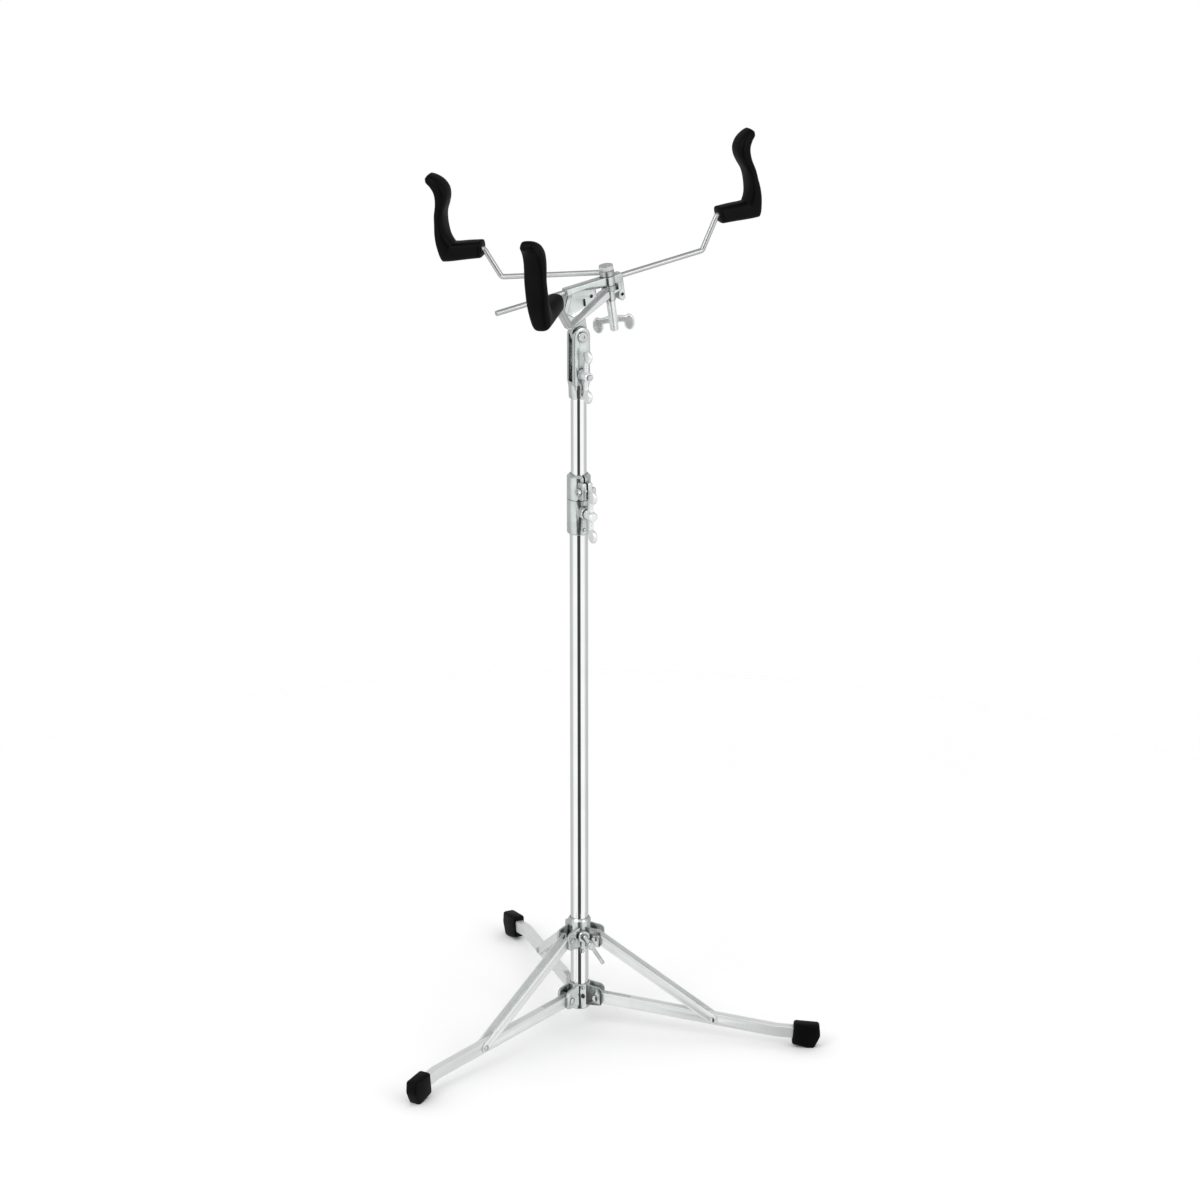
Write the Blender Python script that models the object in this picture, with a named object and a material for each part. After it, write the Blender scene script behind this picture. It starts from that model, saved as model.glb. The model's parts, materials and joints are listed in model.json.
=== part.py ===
"""Flush-base tom stand: channel legs, a telescoping mast and a tilting basket of three gripping arms."""

from math import atan2, cos, hypot, pi, radians, sin, sqrt, tan

import bmesh
import bpy
from mathutils import Matrix, Vector

MM = 0.001

# Fit between neighbours, and how finely round shapes are cut.
GAP = 0.3 * MM
SIDE_GAP = 0.4 * MM
SEAM = 0.004 * MM
FINE = 28
MEDIUM = 16
COARSE = 10

# Broken edges, and a reach that is longer than anything a drill goes through.
THIN_EDGE = 0.3 * MM
EDGE = 1 * MM
REACH = 60 * MM

# Legs: a channel with its web on top, turning about a pin between two ears of the hub.
LEG_COUNT = 3
LEG_PIN_REACH = 22 * MM
LEG_PIN_HEIGHT = 42.5 * MM
LEG_SLOPE = radians(5.2)
LEG_HEIGHT = 14.3 * MM
LEG_WIDTH = 10.4 * MM
LEG_WALL = 1.4 * MM
LEG_LENGTH = 274.5 * MM
LEG_WEB_START = 43 * MM
LEG_BEND = 230 * MM
LEG_BEND_ANGLE = radians(12.5)
LEG_PIN_RADIUS = 2.5 * MM

# Hub at the foot of the lower tube; its heights are set from the leg pins.
HUB_BELOW_PIN = 15.5 * MM
HUB_ABOVE_PIN = 18.5 * MM
HUB_RADIUS = 13.5 * MM
HUB_FLOOR = 3 * MM
EAR_THICKNESS = 3 * MM
EAR_BEYOND_PIN = 8.3 * MM
EAR_LIFT = 6 * MM
EAR_DROP = 5 * MM
SET_SCREW_ABOVE_PIN = 2.5 * MM
SET_SCREW_RADIUS = 2.3 * MM
HUB_RIVET_ABOVE_PIN = 14 * MM
HUB_RIVET_RADIUS = 1.6 * MM
STOP_PIN_RADIUS = 2 * MM
STOP_PIN_HEAD = 3 * MM

# Tubes of the mast.
LOWER_TUBE_RADIUS = 11.1 * MM
LOWER_TUBE_WALL = 1.3 * MM
LOWER_TUBE_TOP = 667 * MM
UPPER_TUBE_RADIUS = 9.5 * MM
UPPER_TUBE_WALL = 1.4 * MM
UPPER_TUBE_BOTTOM = 325 * MM

# Braces: a channel that straddles the leg at its rivet and runs up to the sliding collar.
BRACE_RIVET_ALONG_LEG = 150 * MM
BRACE_HEIGHT = 11.5 * MM
BRACE_WALL = 1.4 * MM
BRACE_CLEARANCE = 0.5 * MM
BRACE_RIVET_RADIUS = 2.3 * MM
BRACE_WEB_START = 30 * MM

# Sliding collar and its T-screw.
COLLAR_PIN_REACH = 22 * MM
COLLAR_ABOVE_LEG_PIN = 82.5 * MM
COLLAR_HEIGHT = 40 * MM
COLLAR_RADIUS = 14 * MM
COLLAR_BELOW_PIN = 16 * MM
COLLAR_EAR_THICKNESS = 2.6 * MM
COLLAR_EAR_BEYOND_PIN = 7.5 * MM
COLLAR_SCREW_ABOVE_PIN = 3 * MM
COLLAR_BOSS_RADIUS = 7.5 * MM
COLLAR_BOSS_REACH = 20 * MM
SCREW_AZIMUTH = radians(302.2)
T_SCREW_RADIUS = 3.5 * MM
T_BAR_REACH = 44 * MM
T_BAR_LENGTH = 48 * MM
T_BAR_RADIUS = 2.5 * MM
T_BAR_TURN = radians(-59)
T_BAR_SLIDE = 8 * MM

# Rubber foot: a boot over the outer end of the leg.
FOOT_LENGTH = 34.5 * MM
FOOT_OVERLAP = 24 * MM
FOOT_WIDTH = 15.5 * MM
FOOT_RIM = 2.6 * MM
FOOT_ABOVE_LEG = 6 * MM
FOOT_BELOW_LEG = 7.9 * MM

# Clamp on top of the lower tube.
MAST_AZIMUTH = radians(42.2)
SCREW_SIDE = MAST_AZIMUTH - pi / 2
CLAMP_OVERLAP = 15.5 * MM
CLAMP_HEIGHT = 43.5 * MM
CLAMP_RADIUS = 14.4 * MM
CLAMP_SCREW_DROP = 14 * MM
CLAMP_SCREW_RADIUS = 4 * MM
CLAMP_BOSS_RADIUS = 8 * MM
CLAMP_BOSS_REACH = 21.5 * MM
CLAMP_PIN_LIFT = 7 * MM
CLAMP_PIN_RADIUS = 1.5 * MM
CLAMP_GRIP_START = 23.5 * MM
SHOE_THICKNESS = 2.7 * MM

# Memory lock resting on the clamp.
LOCK_HEIGHT = 31 * MM
LUG_LENGTH = 14 * MM
LUG_WIDTH = 15 * MM
LUG_HEIGHT = 21 * MM
LUG_REACH = 14.5 * MM
LUG_MIDDLE = 13 * MM
LUG_SLIT = 2.4 * MM
LUG_BOLT_REACH = 17 * MM
LUG_BOLT_RADIUS = 2.5 * MM

# Wing nuts and the wing screw.
WING_SPAN = 66 * MM
WING_HEIGHT = 17.5 * MM
WING_LIFT = 2.5 * MM
WING_LOBE = 17 * MM
WING_BOSS_RADIUS = 6.3 * MM
WING_THICKNESS = 5 * MM
BASKET_WING_SPAN = 50 * MM
BASKET_WING_HEIGHT = 20 * MM
BASKET_WING_LOBE = 13 * MM
BASKET_WING_BOSS = 5.4 * MM
BASKET_WING_TOP = 10.5 * MM
BASKET_WING_BOTTOM = -8 * MM
BASKET_WING_TURN = radians(-28)
WASHER_THICKNESS = 1.4 * MM

# Tilter: a fork on the upper tube, whose cheeks pinch the tongue of the basket.
TILT_HEIGHT = 898 * MM
TILT_REST = radians(8.5)
FORK_HALF_WIDTH = 11 * MM
FORK_HALF_THICKNESS = 9.8 * MM
FORK_SOCKET_DROP = 77 * MM
FORK_SOCKET_RADIUS = 12.2 * MM
FORK_RIVET_DROP = 67 * MM
FORK_RIVET_RADIUS = 1.6 * MM
CHEEK_DROP = 56 * MM
TUBE_END_DROP = 60 * MM
TONGUE_THICKNESS = 9 * MM
TONGUE_RADIUS = 10 * MM
TILT_LOCK_DROP = 46 * MM
TILT_BOLT_RADIUS = 4 * MM
LOCK_BOLT_RADIUS = 3.5 * MM

# Basket: heights are above the tilt bolt, distances run along the sliding arm.
ROD_RADIUS = 3.25 * MM
BAR_START = -11 * MM
BAR_END = 66 * MM
BAR_BOTTOM = 50 * MM
BAR_HEIGHT = 11 * MM
BAR_WIDTH = 12 * MM
ROD_BELOW_BAR_TOP = 4.8 * MM
BOLT_BOSS_RADIUS = 9 * MM
LOW_BOSS_RADIUS = 7.5 * MM
LOW_BOSS_HEIGHT = 11 * MM
EYE_POCKET_RADIUS = 12 * MM
WEB_END = 28 * MM
HEEL_ALONG = -21 * MM
HEEL_HEIGHT = 29 * MM
RIM_SLOPE = radians(22.4)
RIM_HEIGHT = 11 * MM
RIM_SIDE = 8 * MM
RIM_AT_BOLT = 36 * MM
END_LUG_LENGTH = 8 * MM
END_LUG_BOTTOM = 27 * MM
CLAMP_BOLT_ALONG = 48 * MM
CLAMP_BOLT_RADIUS = 5 * MM
CLAMP_THREAD_RADIUS = 3.4 * MM
CLAMP_THREAD_END = -4 * MM
BOLT_HEAD_ACROSS = 16.5 * MM
BOLT_HEAD_HEIGHT = 5.4 * MM

# Arms and grips.
EYE_THICKNESS = 6.8 * MM
EYE_RADIUS = 9 * MM
GRIP_HEIGHT = 93.5 * MM
GRIP_REACH = 155.5 * MM
GRIP_TALL = 94.5 * MM
ROD_IN_GRIP = 51 * MM
ROD_UP_GRIP = 45 * MM
ROD_BEND = 4.5 * MM
RISE_LEAN = 0.69
LEFT_RISE_LEAN = 0.5
LEFT_ARM_DIP = 7 * MM
FRONT_GRIP_DROP = 6 * MM
ROD_TAIL = 150 * MM
LEFT_ARM_ANGLE = radians(129)
FRONT_ARM_ANGLE = radians(-139.5)

# Sizes that follow from the ones above.
HUB_BOTTOM = LEG_PIN_HEIGHT - HUB_BELOW_PIN
HUB_TOP = LEG_PIN_HEIGHT + HUB_ABOVE_PIN
SET_SCREW_HEIGHT = LEG_PIN_HEIGHT + SET_SCREW_ABOVE_PIN
HUB_RIVET_HEIGHT = LEG_PIN_HEIGHT + HUB_RIVET_ABOVE_PIN
COLLAR_PIN_HEIGHT = LEG_PIN_HEIGHT + COLLAR_ABOVE_LEG_PIN
COLLAR_BOTTOM = COLLAR_PIN_HEIGHT - COLLAR_BELOW_PIN
STOP_PIN_HEIGHT = COLLAR_BOTTOM - GAP - STOP_PIN_HEAD
COLLAR_BORE = LOWER_TUBE_RADIUS + GAP
BRACE_INNER_WIDTH = LEG_WIDTH + 2 * BRACE_CLEARANCE
BRACE_WIDTH = BRACE_INNER_WIDTH + 2 * BRACE_WALL
HUB_EAR_GAP = LEG_WIDTH + 2 * SIDE_GAP
COLLAR_EAR_GAP = BRACE_WIDTH + 2 * SIDE_GAP
UPPER_BORE = UPPER_TUBE_RADIUS + GAP
CLAMP_BOTTOM = LOWER_TUBE_TOP - CLAMP_OVERLAP
CLAMP_TOP = CLAMP_BOTTOM + CLAMP_HEIGHT
CLAMP_SCREW_HEIGHT = CLAMP_TOP - CLAMP_SCREW_DROP
CLAMP_PIN_HEIGHT = CLAMP_BOTTOM + CLAMP_PIN_LIFT
LOCK_BOTTOM = CLAMP_TOP + GAP
RIVET_REACH = LEG_PIN_REACH + BRACE_RIVET_ALONG_LEG * cos(LEG_SLOPE)
RIVET_HEIGHT = LEG_PIN_HEIGHT - BRACE_RIVET_ALONG_LEG * sin(LEG_SLOPE)
BRACE_LENGTH = hypot(RIVET_REACH - COLLAR_PIN_REACH, COLLAR_PIN_HEIGHT - RIVET_HEIGHT)
BRACE_DIRECTION = atan2(COLLAR_PIN_HEIGHT - RIVET_HEIGHT, COLLAR_PIN_REACH - RIVET_REACH)
FOOT_START = LEG_LENGTH - FOOT_OVERLAP
FORK_GAP = TONGUE_THICKNESS + 2 * GAP
BAR_TOP = BAR_BOTTOM + BAR_HEIGHT
SLIDE_ROD_HEIGHT = BAR_TOP - ROD_BELOW_BAR_TOP
ROD_ROOT = CLAMP_BOLT_RADIUS + 2.2 * MM
TOP_EYE_HEIGHT = BAR_TOP + GAP + EYE_THICKNESS / 2
LOW_EYE_HEIGHT = BAR_BOTTOM - GAP - EYE_THICKNESS / 2
BOSS_TOP = LOW_EYE_HEIGHT - EYE_THICKNESS / 2 - GAP
BOSS_BOTTOM = BOSS_TOP - LOW_BOSS_HEIGHT
BASKET_NUT_TOP = BOSS_BOTTOM - 2 * GAP - WASHER_THICKNESS


# Materials

def metal(name, colour, roughness):
    """A plated or bare metal."""
    return surface(name, colour, roughness, 1.0)


def surface(name, colour, roughness, metallic):
    """One Principled material."""
    made = bpy.data.materials.new(name)
    made.use_nodes = True
    shader = made.node_tree.nodes["Principled BSDF"]
    shader.inputs["Base Color"].default_value = (*colour, 1.0)
    shader.inputs["Roughness"].default_value = roughness
    shader.inputs["Metallic"].default_value = metallic
    made.diffuse_color = (*colour, 1.0)
    return made


# Frames: each moving body hangs on an empty that sits on its joint

def frame(name, parent, location=(0, 0, 0), rotation=None):
    """An empty that carries one body."""
    empty = bpy.data.objects.new(name, None)
    bpy.context.scene.collection.objects.link(empty)
    empty.empty_display_size = 20 * MM
    empty.parent = parent
    turn = rotation or Matrix.Identity(3)
    empty.matrix_local = Matrix.Translation(location) @ turn.to_4x4()
    return empty


def about(axis, angle):
    """A turn about one named axis."""
    return Matrix.Rotation(angle, 3, axis)


def along(direction, side=(0, 0, 1)):
    """The turn that lays a piece's own Z axis along a direction."""
    z_axis = Vector(direction).normalized()
    x_axis = Vector(side).cross(z_axis)
    if x_axis.length < 0.001:
        x_axis = Vector((1, 0, 0))
    x_axis.normalize()
    y_axis = z_axis.cross(x_axis)
    return Matrix((x_axis, y_axis, z_axis)).transposed()


def name_piece(shape, name, look, parent, location=(0, 0, 0), rotation=None):
    """Turn a finished shape into a named piece of a body."""
    shape.name = name
    shape.data.name = name
    shape.data.materials.clear()
    shape.data.materials.append(look)
    shape.data.shade_smooth()
    shape.data.set_sharp_from_angle(angle=radians(32))
    shape.parent = parent
    turn = rotation or Matrix.Identity(3)
    shape.matrix_local = Matrix.Translation(location) @ turn.to_4x4()
    return shape


# Shapes, each made at the origin

def shape_from(vertices, faces):
    """A mesh object from corners and faces, with the faces turned outwards."""
    mesh = bpy.data.meshes.new("shape")
    mesh.from_pydata([tuple(v) for v in vertices], [], faces)
    edit = bmesh.new()
    edit.from_mesh(mesh)
    bmesh.ops.recalc_face_normals(edit, faces=edit.faces)
    edit.to_mesh(mesh)
    edit.free()
    made = bpy.data.objects.new("shape", mesh)
    bpy.context.scene.collection.objects.link(made)
    return made


def combine(target, tool, operation):
    """Join, cut or keep the overlap of two closed shapes; the tool is used up."""
    step = target.modifiers.new("combine", 'BOOLEAN')
    step.operation = operation
    step.solver = 'EXACT'
    step.object = tool
    bpy.context.view_layer.update()
    seen = target.evaluated_get(bpy.context.evaluated_depsgraph_get())
    result = bpy.data.meshes.new_from_object(seen)
    target.modifiers.clear()
    old = target.data
    target.data = result
    bpy.data.meshes.remove(old)
    bpy.data.objects.remove(tool)
    clean_seams(result)
    return target


def clean_seams(mesh):
    """Weld the corners that a cut leaves almost on top of each other."""
    edit = bmesh.new()
    edit.from_mesh(mesh)
    bmesh.ops.remove_doubles(edit, verts=edit.verts, dist=SEAM)
    bmesh.ops.dissolve_degenerate(edit, edges=edit.edges, dist=SEAM)
    edit.to_mesh(mesh)
    edit.free()


def join(target, *tools):
    """Fuse shapes that belong to one casting."""
    for tool in tools:
        combine(target, tool, 'UNION')
    return target


def cut(target, *tools):
    """Cut holes and slots."""
    for tool in tools:
        combine(target, tool, 'DIFFERENCE')
    return target


def moved(shape, location=(0, 0, 0), rotation=None):
    """Move a shape before it is joined or cut."""
    turn = rotation or Matrix.Identity(3)
    shape.data.transform(Matrix.Translation(location) @ turn.to_4x4())
    return shape


def lathe(profile, segments=MEDIUM):
    """Turn a closed profile of (radius, height) points about the Z axis."""
    vertices = []
    rings = []
    for radius, height in profile:
        if radius == 0:
            rings.append([len(vertices)] * segments)
            vertices.append((0, 0, height))
            continue
        start = len(vertices)
        rings.append([start + i for i in range(segments)])
        for i in range(segments):
            angle = 2 * pi * i / segments
            vertices.append((radius * cos(angle), radius * sin(angle), height))
    faces = []
    for first, second in zip(rings, rings[1:] + rings[:1]):
        for i in range(segments):
            j = (i + 1) % segments
            corners = dict.fromkeys((first[i], first[j], second[j], second[i]))
            if len(corners) > 2:
                faces.append(tuple(corners))
    return shape_from(vertices, faces)


def cylinder(radius, start, end, segments=MEDIUM):
    """A plain solid cylinder on the Z axis, used for pins and drills."""
    return lathe([(0, start), (radius, start), (radius, end), (0, end)], segments)


def pin(radius, start, end, edge, segments=MEDIUM):
    """A solid pin on the Z axis with broken edges."""
    profile = [
        (0, start),
        (radius - edge, start),
        (radius, start + edge),
        (radius, end - edge),
        (radius - edge, end),
        (0, end),
    ]
    return lathe(profile, segments)


def sleeve(outer, inner, start, end, edge=0.0, segments=FINE):
    """A hollow turned piece, its outer edges broken."""
    profile = [
        (inner, start),
        (outer - edge, start),
        (outer, start + edge),
        (outer, end - edge),
        (outer - edge, end),
        (inner, end),
    ]
    if edge == 0.0:
        profile = [(inner, start), (outer, start), (outer, end), (inner, end)]
    return lathe(profile, segments)


def drill(radius, length, place, direction, segments=MEDIUM):
    """A cutter centred on a place and laid along a direction."""
    made = cylinder(radius, -length / 2, length / 2, segments)
    return moved(made, place, along(direction))


def plate(outline, thickness, rounding=0.0, steps=2):
    """Extrude an outline of (x, z) points along Y, centred, with rounded rims."""
    count = len(outline)
    half = thickness / 2
    vertices = [(x, -half, z) for x, z in outline]
    vertices += [(x, half, z) for x, z in outline]
    faces = [tuple(range(count)), tuple(range(2 * count - 1, count - 1, -1))]
    for i in range(count):
        j = (i + 1) % count
        faces.append((i, count + i, count + j, j))
    made = shape_from(vertices, faces)
    if rounding:
        edit = bmesh.new()
        edit.from_mesh(made.data)
        rims = [e for e in edit.edges if abs(e.verts[0].co.y - e.verts[1].co.y) < half]
        bmesh.ops.bevel(edit, geom=rims, offset=rounding, segments=steps, profile=0.5, affect='EDGES')
        edit.to_mesh(made.data)
        edit.free()
    return made


def block(size, centre, rounding=0.0):
    """A box with all edges rounded a little."""
    half = [length / 2 for length in size]
    outline = [(-half[0], -half[2]), (half[0], -half[2]), (half[0], half[2]), (-half[0], half[2])]
    made = plate(outline, size[1])
    if rounding:
        edit = bmesh.new()
        edit.from_mesh(made.data)
        bmesh.ops.bevel(edit, geom=edit.edges, offset=rounding, segments=2, profile=0.5, affect='EDGES')
        edit.to_mesh(made.data)
        edit.free()
    return moved(made, centre)


def arc(centre, radius, start, end, steps):
    """Points on a circular arc, both ends included."""
    points = []
    for i in range(steps + 1):
        angle = start + (end - start) * i / steps
        points.append((centre[0] + radius * cos(angle), centre[1] + radius * sin(angle)))
    return points


def rounded(corners, radii, steps=4):
    """An outline whose corners are replaced by arcs of the given radii."""
    points = []
    count = len(corners)
    for i, corner in enumerate(corners):
        here = Vector(corner)
        radius = radii[i]
        if radius == 0:
            points.append(tuple(here))
            continue
        back = (Vector(corners[i - 1]) - here).normalized()
        ahead = (Vector(corners[(i + 1) % count]) - here).normalized()
        half_angle = back.angle(ahead) / 2
        reach = radius / tan(half_angle)
        centre = here + (back + ahead).normalized() * (radius / sin(half_angle))
        first = here + back * reach - centre
        last = here + ahead * reach - centre
        sweep = first.angle_signed(last)
        begin = atan2(first.y, first.x)
        points += arc(centre, radius, begin, begin - sweep, steps)
    return points


def smooth_loop(controls, steps):
    """A closed smooth curve through control points."""
    points = []
    count = len(controls)
    for i in range(count):
        p0, p1, p2, p3 = (Vector(controls[(i + k - 1) % count]) for k in range(4))
        for step in range(steps):
            t = step / steps
            point = 2 * p1 + (p2 - p0) * t
            point += (2 * p0 - 5 * p1 + 4 * p2 - p3) * t ** 2
            point += (3 * p1 - p0 - 3 * p2 + p3) * t ** 3
            points.append(tuple(point / 2))
    return points


def bent_path(corners, radius, steps=5):
    """A rod's centre line in its own plane, with an arc at each inner corner."""
    points = [Vector(corners[0])]
    for before, corner, after in zip(corners, corners[1:], corners[2:]):
        here = Vector(corner)
        back = (Vector(before) - here).normalized()
        ahead = (Vector(after) - here).normalized()
        half_angle = back.angle(ahead) / 2
        centre = here + (back + ahead).normalized() * (radius / sin(half_angle))
        first = here + back * radius / tan(half_angle) - centre
        last = here + ahead * radius / tan(half_angle) - centre
        sweep = first.angle_signed(last)
        begin = atan2(first.y, first.x)
        points += [Vector(p) for p in arc(centre, radius, begin, begin - sweep, steps)]
    points.append(Vector(corners[-1]))
    return points


def rod(path, radius, segments=COARSE):
    """Sweep a circle along a path of (x, z) points in the XZ plane."""
    vertices = []
    faces = []
    count = len(path)
    for i, point in enumerate(path):
        back = (path[i] - path[max(i - 1, 0)])
        ahead = (path[min(i + 1, count - 1)] - path[i])
        back = back.normalized() if back.length > 0 else ahead.normalized()
        ahead = ahead.normalized() if ahead.length > 0 else back
        tangent = (back + ahead).normalized()
        stretch = 1 / max(tangent.dot(ahead), 0.5)
        normal = Vector((-tangent.y, tangent.x)) * stretch
        for k in range(segments):
            angle = 2 * pi * k / segments
            flat = point + normal * radius * cos(angle)
            vertices.append((flat.x, radius * sin(angle), flat.y))
    for i in range(count - 1):
        for k in range(segments):
            n = (k + 1) % segments
            a = i * segments
            b = a + segments
            faces.append((a + k, a + n, b + n, b + k))
    faces.append(tuple(range(segments)))
    last = (count - 1) * segments
    faces.append(tuple(range(last, last + segments)))
    return shape_from(vertices, faces)


def channel(length, height, width, wall, tail, web_start, web_side):
    """A folded channel along X: round at its head, its web on one side and cut away near the head."""
    half = height / 2
    fold = 0.6 * MM
    outline = arc((0, 0), half, 1.5 * pi, 0.5 * pi, 8)
    if tail:
        outline += arc((length, 0), half, 0.5 * pi, -0.5 * pi, 8)
    else:
        outline += [(length, half), (length, -half)]
    made = plate(outline, width, fold, 1)
    inner_width = width - 2 * wall
    hollow = block((length + 4 * height, inner_width, height), (length / 2, 0, -web_side * wall))
    cut(made, hollow)
    window_middle = (web_start - height) / 2
    window = block((web_start + height, inner_width, 4 * wall), (window_middle, 0, web_side * half))
    return cut(made, window)


def bend_sideways(shape, place, angle):
    """Bend a piece that lies along X: what is beyond the place turns about the upright axis there."""
    corner = Vector((place, 0, 0))
    mitre = Vector((cos(angle / 2), sin(angle / 2), 0))
    edit = bmesh.new()
    edit.from_mesh(shape.data)
    everything = edit.verts[:] + edit.edges[:] + edit.faces[:]
    bmesh.ops.bisect_plane(edit, geom=everything, dist=SEAM, plane_co=corner, plane_no=mitre)
    beyond = [v for v in edit.verts if (v.co - corner).dot(mitre) > SEAM]
    bmesh.ops.rotate(edit, verts=beyond, cent=corner, matrix=about('Z', angle))
    edit.to_mesh(shape.data)
    edit.free()
    return shape


def wing_outline(span, base, height, core, lobe):
    """The outline of two oval lobes on short arms, standing either side of a boss."""
    across = lobe / 2
    tall = height / 2
    right = [(0.7 * core, base)]
    for step in range(11):
        angle = radians(-125 + 31 * step)
        right.append((span / 2 - across + across * cos(angle), base + tall + tall * sin(angle)))
    right.append((0.7 * core, base + 0.45 * height))
    left = [(-x, z) for x, z in reversed(right)]
    return smooth_loop(right + left, 2)


def wing_grip(span, core, boss_length, base, height, lobe):
    """Boss and lobes of a wing nut or wing screw, standing on Z = 0."""
    profile = [
        (0, 0),
        (core, 0),
        (0.92 * core, boss_length - 1.5 * EDGE),
        (0.76 * core, boss_length),
        (0, boss_length),
    ]
    boss = lathe(profile, MEDIUM)
    lobes = plate(wing_outline(span, base, height, core, lobe), WING_THICKNESS, 1.4 * EDGE, 1)
    return join(boss, lobes)


def domed_rivet(shank_radius, shank_length, head_radius, head_height):
    """A rivet whose shank runs down from Z = 0 and whose round head stands on it."""
    profile = [(0, -shank_length), (shank_radius, -shank_length), (shank_radius, 0)]
    profile += dome_points(head_radius, head_height)
    profile.append((0, head_height))
    return lathe(profile, COARSE)


def dome_points(radius, height, steps=3):
    """The rim and curve of a round head, from its flat side up."""
    points = []
    for step in range(steps):
        angle = radians(90) * step / steps
        points.append((radius * cos(angle), height * sin(angle)))
    return points


def through_rivet(radius, span, head_radius, head_height):
    """A rivet along Y with a round head at each end of its span."""
    half = span / 2
    dome = dome_points(head_radius, head_height)
    profile = [(0, -half - head_height)]
    profile += [(across, -half - height) for across, height in reversed(dome)]
    profile += [(radius, -half), (radius, half)]
    profile += [(across, half + height) for across, height in dome]
    profile.append((0, half + head_height))
    return moved(lathe(profile, COARSE), (0, 0, 0), along((0, 1, 0)))


def hex_nut(across, height, bore):
    """A hexagon nut standing on Z = 0, its corners turned off at both ends."""
    radius = across / sqrt(3)
    body = lathe([(0, 0), (radius, 0), (radius, height), (0, height)], 6)
    low = -EDGE
    high = height + THIN_EDGE
    crown = lathe([
        (0, low),
        (across / 2, low),
        (across / 2, 0),
        (radius + THIN_EDGE, 0.8 * EDGE),
        (radius + THIN_EDGE, height - 0.8 * EDGE),
        (across / 2, high),
        (0, high),
    ], MEDIUM)
    combine(body, crown, 'INTERSECT')
    return cut(body, cylinder(bore, -height, 2 * height, COARSE))


# Places on the stand

def polar(azimuth):
    """The horizontal direction at an azimuth."""
    return (cos(azimuth), sin(azimuth), 0)


def up(height):
    """A point on the mast's axis."""
    return Vector((0, 0, height))


def spot(azimuth, reach, height):
    """A point at a distance from the mast's axis."""
    return Vector(polar(azimuth)) * reach + up(height)


def leg_azimuth(index):
    """Where a leg points."""
    return 2 * pi * index / LEG_COUNT


# Pieces of the base

def build_lower_tube(look, body):
    """The tube stands in the hub; small holes take the clamp's pins and the stop pin."""
    inner = LOWER_TUBE_RADIUS - LOWER_TUBE_WALL
    tube = sleeve(LOWER_TUBE_RADIUS, inner, HUB_BOTTOM + HUB_FLOOR + GAP, LOWER_TUBE_TOP)
    cut(tube, drill(CLAMP_PIN_RADIUS + GAP, REACH, up(CLAMP_PIN_HEIGHT), polar(SCREW_SIDE)))
    wall_spot = spot(SCREW_AZIMUTH, LOWER_TUBE_RADIUS, STOP_PIN_HEIGHT)
    cut(tube, drill(STOP_PIN_RADIUS + GAP, LOWER_TUBE_RADIUS, wall_spot, polar(SCREW_AZIMUTH)))
    name_piece(tube, "lower_tube", look, body)


def build_hub(look, body):
    """A cup with a floor and six ears."""
    edge = 1.5 * EDGE
    barrel = lathe([
        (0, HUB_BOTTOM),
        (HUB_RADIUS - edge, HUB_BOTTOM),
        (HUB_RADIUS, HUB_BOTTOM + edge),
        (HUB_RADIUS, HUB_TOP - edge),
        (HUB_RADIUS - edge, HUB_TOP),
        (0, HUB_TOP),
    ], FINE)
    for index in range(LEG_COUNT):
        for side in (-1, 1):
            join(barrel, hub_ear(index, side))
    cut(barrel, cylinder(COLLAR_BORE, HUB_BOTTOM + HUB_FLOOR, HUB_TOP + EDGE, FINE))
    for index in range(LEG_COUNT):
        azimuth = leg_azimuth(index)
        pin_spot = spot(azimuth, LEG_PIN_REACH, LEG_PIN_HEIGHT)
        cut(barrel, drill(LEG_PIN_RADIUS + GAP, 2 * HUB_RADIUS, pin_spot, polar(azimuth + pi / 2)))
    outward = polar(SCREW_AZIMUTH)
    for radius, height in ((SET_SCREW_RADIUS, SET_SCREW_HEIGHT), (HUB_RIVET_RADIUS, HUB_RIVET_HEIGHT)):
        hole_spot = spot(SCREW_AZIMUTH, HUB_RADIUS, height)
        cut(barrel, drill(radius + GAP, HUB_RADIUS / 2, hole_spot, outward))
    name_piece(barrel, "base_hub", look, body)


def hub_ear(index, side):
    """One upright ear of the hub, round at its outer top corner."""
    root = 2 / 3 * HUB_RADIUS
    reach = LEG_PIN_REACH + EAR_BEYOND_PIN
    low = HUB_BOTTOM + EAR_LIFT
    corners = [(root, low), (reach, low), (reach, HUB_TOP - EAR_DROP), (root, HUB_TOP - EDGE)]
    low_round = 3 * MM
    high_round = 7 * MM
    ear = plate(rounded(corners, [0, low_round, high_round, 0], 3), EAR_THICKNESS)
    moved(ear, (0, side * (HUB_EAR_GAP + EAR_THICKNESS) / 2, 0))
    return moved(ear, (0, 0, 0), about('Z', leg_azimuth(index)))


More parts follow.
